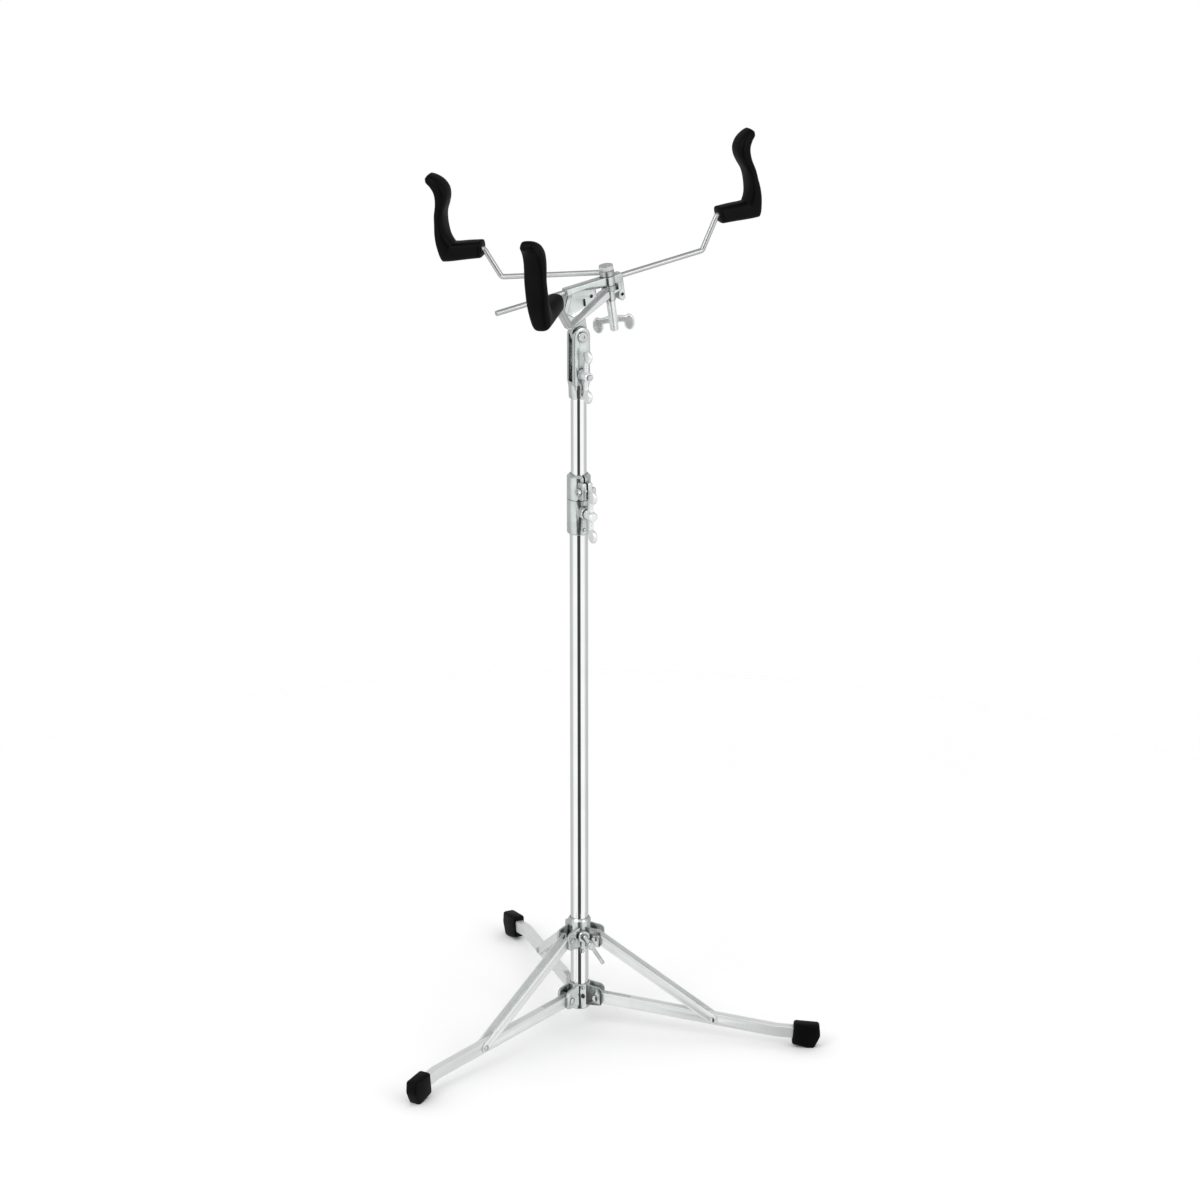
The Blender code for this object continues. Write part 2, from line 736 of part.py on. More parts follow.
def build_hub_screws(dark, bright, body):
    """A socket screw with a rivet above it in the hub, and the pin that the collar rests on."""
    outward = polar(SCREW_AZIMUTH)
    on_tube = LOWER_TUBE_RADIUS + GAP
    length = 4 * MM
    screw = pin(SET_SCREW_RADIUS, 0, length, THIN_EDGE, COARSE)
    cut(screw, cylinder(SET_SCREW_RADIUS / 2, length / 2, length + EDGE, 6))
    screw_spot = spot(SCREW_AZIMUTH, on_tube, SET_SCREW_HEIGHT)
    name_piece(screw, "hub_set_screw", dark, body, screw_spot, along(outward))
    rivet = domed_rivet(HUB_RIVET_RADIUS, HUB_RADIUS - on_tube, 1.5 * HUB_RIVET_RADIUS, 1.2 * EDGE)
    rivet_spot = spot(SCREW_AZIMUTH, HUB_RADIUS + GAP, HUB_RIVET_HEIGHT)
    name_piece(rivet, "hub_rivet", bright, body, rivet_spot, along(outward))
    stop = domed_rivet(STOP_PIN_RADIUS, LOWER_TUBE_WALL, STOP_PIN_HEAD, EDGE)
    stop_spot = spot(SCREW_AZIMUTH, on_tube, STOP_PIN_HEIGHT)
    name_piece(stop, "collar_stop_pin", bright, body, stop_spot, along(outward))


def build_leg_pins(look, body):
    """A rivet through each pair of ears and the leg between them."""
    span = HUB_EAR_GAP + 2 * EAR_THICKNESS + 2 * GAP
    head = 1.7 * LEG_PIN_RADIUS
    for index in range(LEG_COUNT):
        azimuth = leg_azimuth(index)
        made = through_rivet(LEG_PIN_RADIUS, span, head, 0.4 * head)
        pin_spot = spot(azimuth, LEG_PIN_REACH, LEG_PIN_HEIGHT)
        name_piece(made, f"leg_pin_{index + 1}", look, body, pin_spot, about('Z', azimuth))


# Legs, feet and braces

def build_leg(index, steel, rubber, rivet_look, body):
    """One leg body, in the frame of its pin: X runs outwards along the leg."""
    leg = channel(LEG_LENGTH, LEG_HEIGHT, LEG_WIDTH, LEG_WALL, False, LEG_WEB_START, 1)
    bend_sideways(leg, LEG_BEND, LEG_BEND_ANGLE)
    rivet_spot = (BRACE_RIVET_ALONG_LEG, 0, 0)
    cut(leg, drill(LEG_PIN_RADIUS + GAP, 2 * LEG_WIDTH, (0, 0, 0), (0, 1, 0), COARSE))
    cut(leg, drill(BRACE_RIVET_RADIUS + GAP, 2 * LEG_WIDTH, rivet_spot, (0, 1, 0), COARSE))
    name_piece(leg, f"leg_{index + 1}", steel, body)
    head = 1.7 * BRACE_RIVET_RADIUS
    rivet = through_rivet(BRACE_RIVET_RADIUS, BRACE_WIDTH + 2 * GAP, head, 0.4 * head)
    name_piece(rivet, f"brace_rivet_{index + 1}", rivet_look, body, rivet_spot)
    name_piece(foot_boot(), f"foot_{index + 1}", rubber, body)


def foot_boot():
    """A boot on the bent end of the leg: its sole slopes down to the toe, which is cut flat by the floor."""
    leg_half = LEG_HEIGHT / 2
    top = leg_half + FOOT_ABOVE_LEG
    heel = -leg_half - FOOT_BELOW_LEG
    sink = EDGE - GAP
    corners = [
        (0, heel),
        (0.60 * FOOT_LENGTH, floor_line(0.60 * FOOT_LENGTH) - sink),
        (0.82 * FOOT_LENGTH, floor_line(0.82 * FOOT_LENGTH) - sink),
        (FOOT_LENGTH, -0.2 * leg_half),
        (0.92 * FOOT_LENGTH, top),
        (0, top),
    ]
    small = FOOT_RIM + THIN_EDGE * 2
    toe = FOOT_RIM + EDGE
    end = 10 * MM
    outline = rounded(corners, [small, 0, toe, end, toe, small], 3)
    boot = plate(outline, FOOT_WIDTH, FOOT_RIM, 2)
    size = (2 * FOOT_OVERLAP + 2 * GAP, LEG_WIDTH + 2 * GAP, LEG_HEIGHT + 2 * GAP)
    cut(boot, block(size, (0, 0, 0)))
    turn = about('Z', LEG_BEND_ANGLE)
    start = Vector((LEG_BEND, 0, 0)) + turn @ Vector((FOOT_START - LEG_BEND, 0, 0))
    moved(boot, start, turn)
    depth = 20 * MM
    floor = block((2 * LEG_LENGTH, 2 * FOOT_LENGTH, depth), (LEG_LENGTH, 0, -LEG_PIN_HEIGHT - depth / 2))
    return cut(boot, moved(floor, (0, 0, 0), about('Y', -LEG_SLOPE)))


def floor_line(along_boot):
    """Height of the floor in the leg's frame, at a distance from the boot's mouth."""
    distance = LEG_BEND + (FOOT_START - LEG_BEND + along_boot) * cos(LEG_BEND_ANGLE)
    return -(LEG_PIN_HEIGHT - distance * sin(LEG_SLOPE)) / cos(LEG_SLOPE)


def build_brace(index, look, body):
    """One brace, in the frame of its rivet: X runs up to the collar, the web lies on +Z."""
    brace = channel(BRACE_LENGTH, BRACE_HEIGHT, BRACE_WIDTH, BRACE_WALL, True, BRACE_WEB_START, 1)
    cut(brace, drill(BRACE_RIVET_RADIUS + GAP, 2 * BRACE_WIDTH, (0, 0, 0), (0, 1, 0), COARSE))
    cut(brace, drill(LEG_PIN_RADIUS + GAP, 2 * BRACE_WIDTH, (BRACE_LENGTH, 0, 0), (0, 1, 0), COARSE))
    name_piece(brace, f"brace_{index + 1}", look, body)


# Sliding collar

def build_collar(look, rivet_look, body):
    """The collar, in a frame at the height of its pins."""
    low = -COLLAR_BELOW_PIN
    high = low + COLLAR_HEIGHT
    top_edge = 2 * EDGE
    barrel = lathe([
        (0, low),
        (COLLAR_RADIUS - EDGE, low),
        (COLLAR_RADIUS, low + EDGE),
        (COLLAR_RADIUS, high - 1.5 * top_edge),
        (COLLAR_RADIUS - top_edge, high),
        (0, high),
    ], FINE)
    for index in range(LEG_COUNT):
        for side in (-1, 1):
            join(barrel, collar_ear(index, side))
    outward = polar(SCREW_AZIMUTH)
    boss = pin(COLLAR_BOSS_RADIUS, COLLAR_RADIUS / 3, COLLAR_BOSS_REACH, EDGE, MEDIUM)
    join(barrel, moved(boss, up(COLLAR_SCREW_ABOVE_PIN), along(outward)))
    cut(barrel, cylinder(COLLAR_BORE, low - EDGE, high + EDGE, FINE))
    screw_spot = spot(SCREW_AZIMUTH, COLLAR_BOSS_REACH, COLLAR_SCREW_ABOVE_PIN)
    cut(barrel, drill(T_SCREW_RADIUS + GAP, COLLAR_BOSS_REACH, screw_spot, outward))
    for index in range(LEG_COUNT):
        azimuth = leg_azimuth(index)
        sideways = polar(azimuth + pi / 2)
        pin_spot = spot(azimuth, COLLAR_PIN_REACH, 0)
        cut(barrel, drill(LEG_PIN_RADIUS + GAP, 2 * COLLAR_PIN_REACH, pin_spot, sideways, COARSE))
    name_piece(barrel, "slide_collar", look, body)
    for index in range(LEG_COUNT):
        for side, word in ((-1, "right"), (1, "left")):
            build_collar_rivet(index, side, word, rivet_look, body)


def collar_ear(index, side):
    """One upright ear of the collar, rounded about the pin."""
    root = 2 / 3 * COLLAR_RADIUS
    reach = COLLAR_PIN_REACH + COLLAR_EAR_BEYOND_PIN
    low = -0.75 * COLLAR_BELOW_PIN
    high = 0.62 * COLLAR_BELOW_PIN
    corners = [(root, low), (reach, low), (reach, high), (root, 1.4 * high)]
    low_round = 4 * MM
    high_round = 6 * MM
    ear = plate(rounded(corners, [0, low_round, high_round, 0], 3), COLLAR_EAR_THICKNESS)
    moved(ear, (0, side * (COLLAR_EAR_GAP + COLLAR_EAR_THICKNESS) / 2, 0))
    return moved(ear, (0, 0, 0), about('Z', leg_azimuth(index)))


def build_collar_rivet(index, side, word, look, body):
    """A short rivet in each ear; the brace turns between the two."""
    head = 1.75 * LEG_PIN_RADIUS
    rivet = domed_rivet(LEG_PIN_RADIUS, COLLAR_EAR_THICKNESS + GAP, head, 0.4 * head)
    azimuth = leg_azimuth(index)
    sideways = Vector(polar(azimuth + pi / 2)) * side
    face = COLLAR_EAR_GAP / 2 + COLLAR_EAR_THICKNESS + GAP
    head_spot = spot(azimuth, COLLAR_PIN_REACH, 0) + sideways * face
    name_piece(rivet, f"collar_rivet_{index + 1}_{word}", look, body, head_spot, along(sideways))


def build_collar_screw(look, body):
    """The T-screw, in a frame on its own axis at the mast: Z runs outwards."""
    head = 2 * T_BAR_RADIUS
    screw = pin(T_SCREW_RADIUS, LOWER_TUBE_RADIUS + GAP, T_BAR_REACH, THIN_EDGE, MEDIUM)
    join(screw, pin(head, T_BAR_REACH - 1.2 * head, T_BAR_REACH + head, EDGE, MEDIUM))
    cut(screw, drill(T_BAR_RADIUS + GAP, 4 * head, (0, 0, T_BAR_REACH), (1, 0, 0), COARSE))
    name_piece(screw, "collar_t_screw", look, body)
    bar = pin(T_BAR_RADIUS, -T_BAR_LENGTH / 2, T_BAR_LENGTH / 2, EDGE, COARSE)
    name_piece(bar, "collar_t_bar", look, body, (T_BAR_SLIDE, 0, T_BAR_REACH), along((1, 0, 0)))


# Clamp at the top of the lower tube

def build_height_clamp(look, body):
    """A turned casting with a boss for the wing screw."""
    low_edge = 1.5 * EDGE
    clamp = lathe([
        (0, CLAMP_BOTTOM),
        (CLAMP_RADIUS - low_edge, CLAMP_BOTTOM),
        (CLAMP_RADIUS, CLAMP_BOTTOM + low_edge),
        (CLAMP_RADIUS, CLAMP_TOP - THIN_EDGE),
        (CLAMP_RADIUS - THIN_EDGE, CLAMP_TOP),
        (0, CLAMP_TOP),
    ], FINE)
    outward = polar(SCREW_SIDE)
    boss = pin(CLAMP_BOSS_RADIUS, CLAMP_BOSS_RADIUS, CLAMP_BOSS_REACH, EDGE, MEDIUM)
    join(clamp, moved(boss, up(CLAMP_SCREW_HEIGHT), along(outward)))
    cut(clamp, cylinder(COLLAR_BORE, CLAMP_BOTTOM - EDGE, LOWER_TUBE_TOP + GAP, FINE))
    cut(clamp, cylinder(UPPER_BORE, CLAMP_BOTTOM, CLAMP_TOP + EDGE, FINE))
    screw_spot = spot(SCREW_SIDE, CLAMP_RADIUS, CLAMP_SCREW_HEIGHT)
    cut(clamp, drill(CLAMP_SCREW_RADIUS + GAP, 1.3 * CLAMP_RADIUS, screw_spot, outward))
    cut(clamp, drill(CLAMP_PIN_RADIUS + GAP, REACH, up(CLAMP_PIN_HEIGHT), outward))
    name_piece(clamp, "height_clamp", look, body)


def build_clamp_pin(look, body):
    """Two short pins fix the clamp to the lower tube."""
    length = CLAMP_RADIUS - LOWER_TUBE_RADIUS + LOWER_TUBE_WALL / 2
    for side, word in ((-1, "back"), (1, "front")):
        outward = Vector(polar(SCREW_SIDE)) * side
        made = domed_rivet(CLAMP_PIN_RADIUS, length, 1.7 * CLAMP_PIN_RADIUS, EDGE)
        head_spot = spot(SCREW_SIDE, side * (CLAMP_RADIUS + GAP), CLAMP_PIN_HEIGHT)
        name_piece(made, f"clamp_pin_{word}", look, body, head_spot, along(outward))


def build_clamp_shoe(look, body):
    """A brass shoe between the wing screw and the upper tube."""
    near = UPPER_TUBE_RADIUS + GAP
    shoe = pin(CLAMP_SCREW_RADIUS - GAP, near, near + SHOE_THICKNESS, THIN_EDGE, COARSE)
    name_piece(shoe, "clamp_shoe", look, body, up(CLAMP_SCREW_HEIGHT), along(polar(SCREW_SIDE)))


def build_clamp_screw(look, body):
    """The wing screw, in a frame on its own axis at the mast: Z runs outwards."""
    grip = wing_grip(WING_SPAN, WING_BOSS_RADIUS, 15 * MM, WING_LIFT, WING_HEIGHT, WING_LOBE)
    moved(grip, (0, 0, CLAMP_GRIP_START))
    shank_start = UPPER_TUBE_RADIUS + SHOE_THICKNESS + 2 * GAP
    shank = pin(CLAMP_SCREW_RADIUS, shank_start, CLAMP_GRIP_START + 3 * EDGE, THIN_EDGE, MEDIUM)
    name_piece(join(grip, shank), "height_wing_screw", look, body)


# Memory lock

def build_memory_lock(look, screw_look, body):
    """A split ring on the upper tube, in a frame on the clamp's top."""
    top_edge = 3 * EDGE
    ring = lathe([
        (0, 0),
        (CLAMP_RADIUS - THIN_EDGE, 0),
        (CLAMP_RADIUS, THIN_EDGE),
        (CLAMP_RADIUS, LOCK_HEIGHT - top_edge),
        (CLAMP_RADIUS - top_edge, LOCK_HEIGHT),
        (0, LOCK_HEIGHT),
    ], FINE)
    to_side = about('Z', SCREW_SIDE)
    lug = block((LUG_LENGTH, LUG_WIDTH, LUG_HEIGHT), (LUG_REACH, 0, LUG_MIDDLE), EDGE)
    join(ring, moved(lug, (0, 0, 0), to_side))
    cut(ring, cylinder(UPPER_BORE, -EDGE, LOCK_HEIGHT + EDGE, FINE))
    slit = block((LUG_LENGTH, LUG_SLIT, 2 * LOCK_HEIGHT), (LUG_BOLT_REACH, 0, LOCK_HEIGHT / 2))
    cut(ring, moved(slit, (0, 0, 0), to_side))
    sideways = Vector(polar(SCREW_SIDE + pi / 2))
    bolt_spot = spot(SCREW_SIDE, LUG_BOLT_REACH, LUG_MIDDLE)
    cut(ring, drill(LUG_BOLT_RADIUS + GAP, 2 * LUG_WIDTH, bolt_spot, sideways, COARSE))
    name_piece(ring, "memory_lock", look, body)
    face = LUG_WIDTH / 2 + GAP
    nut_height = 4 * MM
    head_size = 6 * MM
    head_height = 5 * MM
    bolt = pin(LUG_BOLT_RADIUS, -face - nut_height - EDGE, face + EDGE, THIN_EDGE, COARSE)
    head = block((head_size, head_size, head_height), (0, 0, face + head_height / 2), EDGE / 2)
    name_piece(join(bolt, head), "memory_lock_bolt", screw_look, body, bolt_spot, along(sideways))
    nut = hex_nut(8 * MM, nut_height, LUG_BOLT_RADIUS + GAP)
    nut_spot = bolt_spot - sideways * (face + nut_height)
    name_piece(nut, "memory_lock_nut", screw_look, body, nut_spot, along(sideways))


# Mast and tilter fork; the fork's frame sits on the tilt bolt, its Y axis along the bolt

def build_upper_tube(look, body):
    """The tube slides in the lower one and ends in the fork's socket."""
    inner = UPPER_TUBE_RADIUS - UPPER_TUBE_WALL
    tube = sleeve(UPPER_TUBE_RADIUS, inner, UPPER_TUBE_BOTTOM - TILT_HEIGHT, -TUBE_END_DROP)
    cut(tube, drill(FORK_RIVET_RADIUS + GAP, REACH, (0, 0, -FORK_RIVET_DROP), (0, 1, 0), COARSE))
    name_piece(tube, "upper_tube", look, body)


def build_fork(look, body):
    """Two cheeks on a socket, cut from one block by the slot for the tongue."""
    neck_half_width = 0.8 * FORK_HALF_WIDTH
    neck_drop = CHEEK_DROP + 10 * MM
    outline = arc((0, 0), FORK_HALF_WIDTH, 0, pi, 12)
    outline += [(-FORK_HALF_WIDTH, -CHEEK_DROP), (-neck_half_width, -neck_drop)]
    outline += [(neck_half_width, -neck_drop), (FORK_HALF_WIDTH, -CHEEK_DROP)]
    fork = plate(outline, 2 * FORK_HALF_THICKNESS, 1.6 * EDGE, 2)
    socket = lathe([
        (0, -FORK_SOCKET_DROP),
        (FORK_SOCKET_RADIUS - EDGE, -FORK_SOCKET_DROP),
        (FORK_SOCKET_RADIUS - EDGE / 2, -FORK_SOCKET_DROP + EDGE),
        (FORK_SOCKET_RADIUS, -CHEEK_DROP - 5 * EDGE),
        (0.8 * FORK_SOCKET_RADIUS, -CHEEK_DROP),
        (0, -CHEEK_DROP),
    ], FINE)
    join(fork, socket)
    floor = 3.6 * MM
    slot_bottom = TUBE_END_DROP - floor
    slot_height = slot_bottom + 2 * FORK_HALF_WIDTH
    slot = block((4 * FORK_HALF_WIDTH, FORK_GAP, slot_height), (0, 0, slot_height / 2 - slot_bottom))
    bore = cylinder(UPPER_BORE, -FORK_SOCKET_DROP - EDGE, -TUBE_END_DROP + GAP, FINE)
    cut(fork, slot, bore)
    cut(fork, drill(TILT_BOLT_RADIUS + GAP, REACH, (0, 0, 0), (0, 1, 0)))
    cut(fork, drill(LOCK_BOLT_RADIUS + GAP, REACH, (0, 0, -TILT_LOCK_DROP), (0, 1, 0)))
    rivet_spot = (0, 0, -FORK_RIVET_DROP)
    cut(fork, drill(FORK_RIVET_RADIUS + GAP, REACH, rivet_spot, (0, 1, 0), COARSE))
    name_piece(fork, "tilter_fork", look, body)
    head = 1.75 * FORK_RIVET_RADIUS
    rivet = through_rivet(FORK_RIVET_RADIUS, 2 * FORK_SOCKET_RADIUS + GAP, head, 0.4 * head)
    name_piece(rivet, "fork_rivet", look, body, rivet_spot)


def build_tilt_bolts(look, body):
    """The pivot bolt with its nut, and the bolt of the wing nut that locks the tilt."""
    face = FORK_HALF_THICKNESS + GAP
    across = along((0, 1, 0))
    head_radius = 6.3 * MM
    head_height = 3 * MM
    nut_height = 5 * MM
    bolt = pin(TILT_BOLT_RADIUS, -face - EDGE, face + nut_height + EDGE, THIN_EDGE, MEDIUM)
    join(bolt, pin(head_radius, -face - head_height, -face, EDGE, MEDIUM))
    cut(bolt, cylinder(0.37 * head_radius, -face - 2 * head_height, -face - EDGE, 6))
    name_piece(bolt, "tilt_pivot_bolt", look, body, (0, 0, 0), across)
    nut = hex_nut(2 * head_radius, nut_height, TILT_BOLT_RADIUS + GAP)
    name_piece(nut, "tilt_pivot_nut", look, body, (0, face, 0), across)
    low = (0, 0, -TILT_LOCK_DROP)
    lock = pin(LOCK_BOLT_RADIUS, -3 * face, face + EDGE, THIN_EDGE, MEDIUM)
    join(lock, pin(head_radius, face, face + head_height, EDGE, MEDIUM))
    name_piece(lock, "tilt_lock_bolt", look, body, low, across)
    washer = sleeve(2 * LOCK_BOLT_RADIUS, LOCK_BOLT_RADIUS + GAP, -face - WASHER_THICKNESS, -face, 0, MEDIUM)
    name_piece(washer, "tilt_lock_washer", look, body, low, across)


def build_tilt_wing_nut(look, body):
    """In a frame on the lock bolt: Z runs out of the near cheek."""
    start = FORK_HALF_THICKNESS + 2 * GAP + WASHER_THICKNESS
    nut = wing_grip(WING_SPAN, WING_BOSS_RADIUS, 16 * MM, WING_LIFT, WING_HEIGHT, WING_LOBE)
    moved(nut, (0, 0, start))
    cut(nut, cylinder(LOCK_BOLT_RADIUS + GAP, 0, REACH, MEDIUM))
    name_piece(nut, "tilt_wing_nut", look, body)


# Basket: X runs along the sliding arm, Z stands on the plane of the arms

def build_basket_casting(look, body):
    """A bar bored for the sliding arm, on a web with a broad rim, a tongue and a boss for the clamp bolt."""
    bar_length = BAR_END - BAR_START
    bar_middle = (BAR_START + BAR_END) / 2
    casting = block((bar_length, BAR_WIDTH, BAR_HEIGHT), (bar_middle, 0, BAR_TOP - BAR_HEIGHT / 2), 2 * EDGE)
    join(casting, basket_web(), basket_rim(), basket_end_lug(), basket_tongue())
    at_bolt = (CLAMP_BOLT_ALONG, 0, 0)
    join(casting, moved(pin(BOLT_BOSS_RADIUS, BAR_BOTTOM, BAR_TOP, EDGE / 2, MEDIUM), at_bolt))
    join(casting, moved(pin(LOW_BOSS_RADIUS, BOSS_BOTTOM, BOSS_TOP + EDGE, EDGE / 2, MEDIUM), at_bolt))
    cut(casting, moved(cylinder(EYE_POCKET_RADIUS, BOSS_TOP, BAR_BOTTOM, MEDIUM), at_bolt))
    cut(casting, drill(ROD_RADIUS + GAP, 2 * bar_length, (bar_middle, 0, SLIDE_ROD_HEIGHT), (1, 0, 0)))
    cut(casting, moved(cylinder(CLAMP_BOLT_RADIUS + GAP, BOSS_TOP + EDGE, BAR_TOP + EDGE, MEDIUM), at_bolt))
    cut(casting, moved(cylinder(CLAMP_THREAD_RADIUS + GAP, BOSS_BOTTOM - EDGE, BAR_BOTTOM, MEDIUM), at_bolt))
    cut(casting, drill(TILT_BOLT_RADIUS + GAP, REACH, (0, 0, 0), (0, 1, 0)))
    name_piece(cut_web_openings(casting), "basket_casting", look, body)


def cut_web_openings(casting):
    """A slot and a hole in the web, and a hole in the lug at the bar's end."""
    left = 9 * MM
    right = 12.5 * MM
    low = 34 * MM
    high = 44 * MM
    corners = [(left, low), (right, low), (right, high), (left, high)]
    slot = plate(rounded(corners, [1.7 * MM] * 4, 3), 2 * BAR_WIDTH)
    hole = drill(2.4 * MM, 2 * BAR_WIDTH, (21 * MM, 0, 44 * MM), (0, 1, 0), COARSE)
    lug_spot = (BAR_END - END_LUG_LENGTH / 2, 0, END_LUG_BOTTOM + END_LUG_LENGTH)
    lug_hole = drill(2.2 * MM, 2 * BAR_WIDTH, lug_spot, (0, 1, 0), COARSE)
    return cut(casting, slot, hole, lug_hole)


def basket_web():
    """The upright web between the bar and the rim."""
    inset = 2 * MM
    low_left = -10 * MM
    corners = [
        (BAR_START + inset, BAR_BOTTOM + inset),
        (HEEL_ALONG + 2 * inset, HEEL_HEIGHT),
        (low_left, rim_line(low_left) + inset),
        (WEB_END, rim_line(WEB_END) + inset),
        (WEB_END, BAR_BOTTOM + inset),
    ]
    return plate(corners, BAR_WIDTH - EDGE)


def rim_line(distance):
    """Height of the rim's slanted lower edge at a distance along the arm."""
    return RIM_AT_BOLT + (distance - CLAMP_BOLT_ALONG) * tan(RIM_SLOPE)


def basket_rim():
    """The broad rim along the left side and the slanted lower edge of the web."""
    right = BAR_END - END_LUG_LENGTH / 2
    toe = -12 * MM
    inner_corner = HEEL_ALONG + 2 * RIM_SIDE
    top = BAR_BOTTOM + 4 * MM
    outside = [
        (BAR_START + EDGE, top),
        (HEEL_ALONG, HEEL_HEIGHT),
        (toe - 2 * EDGE, rim_line(toe)),
        (toe, rim_line(toe) - EDGE / 2),
        (right, rim_line(right)),
    ]
    inside = [
        (right, rim_line(right) + RIM_HEIGHT),
        (inner_corner, rim_line(inner_corner) + RIM_HEIGHT),
        (HEEL_ALONG + RIM_SIDE, HEEL_HEIGHT + 2 * EDGE),
        (BAR_START + RIM_SIDE, top),
    ]
    return plate(outside + inside, BAR_WIDTH + EDGE, EDGE, 1)


def basket_end_lug():
    """A lug that hangs from the bar's right end, round at its foot."""
    half = END_LUG_LENGTH / 2
    middle = BAR_END - half
    outline = arc((middle, END_LUG_BOTTOM + half), half, pi, 2 * pi, 8)
    outline += [(BAR_END, BAR_BOTTOM + half), (BAR_END - END_LUG_LENGTH, BAR_BOTTOM + half)]
    return plate(outline, BAR_WIDTH - EDGE, EDGE, 1)


def basket_tongue():
    """The round tongue that the fork's cheeks pinch."""
    outline = arc((0, 0), TONGUE_RADIUS, pi, 2 * pi, 12)
    for distance in (TONGUE_RADIUS, -TONGUE_RADIUS):
        outline.append((distance, rim_line(distance) + 2 * EDGE))
    return plate(outline, TONGUE_THICKNESS)


def build_clamp_bolt(look, body):
    """The eye bolt that holds all three arms, in a frame at its foot on the tilt bolt's level."""
    head_start = BAR_TOP + 2 * GAP + EYE_THICKNESS
    low = LOW_EYE_HEIGHT - EYE_THICKNESS / 2
    bolt = pin(CLAMP_BOLT_RADIUS, low, head_start + EDGE, THIN_EDGE, MEDIUM)
    join(bolt, pin(CLAMP_THREAD_RADIUS, CLAMP_THREAD_END, LOW_EYE_HEIGHT, EDGE / 2, MEDIUM))
    cap_radius = 2 * MM
    head = hex_nut(BOLT_HEAD_ACROSS, BOLT_HEAD_HEIGHT, cap_radius / 2)
    cap = pin(cap_radius, EDGE / 2, BOLT_HEAD_HEIGHT - EDGE / 2, THIN_EDGE, COARSE)
    join(bolt, moved(join(head, cap), up(head_start)))
    cut(bolt, drill(ROD_RADIUS + GAP, REACH, up(SLIDE_ROD_HEIGHT), (1, 0, 0)))
    name_piece(bolt, "basket_clamp_bolt", look, body, (CLAMP_BOLT_ALONG, 0, 0))
    washer_top = BOSS_BOTTOM - GAP
    washer_radius = 1.2 * BASKET_WING_BOSS
    bore = CLAMP_THREAD_RADIUS + GAP
    washer = sleeve(washer_radius, bore, washer_top - WASHER_THICKNESS, washer_top, 0, MEDIUM)
    name_piece(washer, "basket_washer", look, body, (CLAMP_BOLT_ALONG, 0, 0))


def build_basket_wing_nut(look, body):
    """In a frame on the clamp bolt at the tilt bolt's level: Z runs down out of the basket."""
    boss_length = BASKET_NUT_TOP - BASKET_WING_BOTTOM
    base = BASKET_NUT_TOP - BASKET_WING_TOP
    nut = wing_grip(
        BASKET_WING_SPAN, BASKET_WING_BOSS, boss_length, base, BASKET_WING_HEIGHT, BASKET_WING_LOBE)
    moved(nut, up(-BASKET_NUT_TOP))
    cut(nut, cylinder(CLAMP_THREAD_RADIUS + GAP, -REACH, REACH, MEDIUM))
    name_piece(nut, "basket_wing_nut", look, body)


def arm_path(rod_height, start, dip, lean, grip_height, beyond=0.0):
    """Centre line of an arm's rod: out from the bolt, up the rise, level again, then up inside the grip."""
    bend_height = rod_height - dip
    bend_reach = GRIP_REACH - (grip_height - bend_height) * lean
    far = GRIP_REACH + ROD_IN_GRIP
    corners = [
        (start, rod_height),
        (bend_reach, bend_height),
        (GRIP_REACH, grip_height),
        (far, grip_height),
        (far - 0.03 * ROD_UP_GRIP, grip_height + ROD_UP_GRIP + beyond),
    ]
    return bent_path(corners, ROD_BEND, 3)


def build_arm(name, rod_height, start, shape, steel, rubber, body):
    """A rod and its rubber grip, in a frame on the clamp bolt: X runs outwards."""
    dip, lean, grip_drop = shape
    grip_height = GRIP_HEIGHT - grip_drop
    arm = rod(arm_path(rod_height, start, dip, lean, grip_height), ROD_RADIUS)
    if start > 0:
        low = rod_height - EYE_THICKNESS / 2
        eye = sleeve(EYE_RADIUS, CLAMP_BOLT_RADIUS + GAP, low, low + EYE_THICKNESS, EDGE / 2, MEDIUM)
        join(arm, eye)
    name_piece(arm, f"{name}_arm", steel, body)
    grip = moved(rubber_grip(), (GRIP_REACH, 0, grip_height))
    bore = rod(arm_path(rod_height, start, dip, lean, grip_height, GAP), ROD_RADIUS + GAP)
    name_piece(cut(grip, bore), f"{name}_grip", rubber, body)


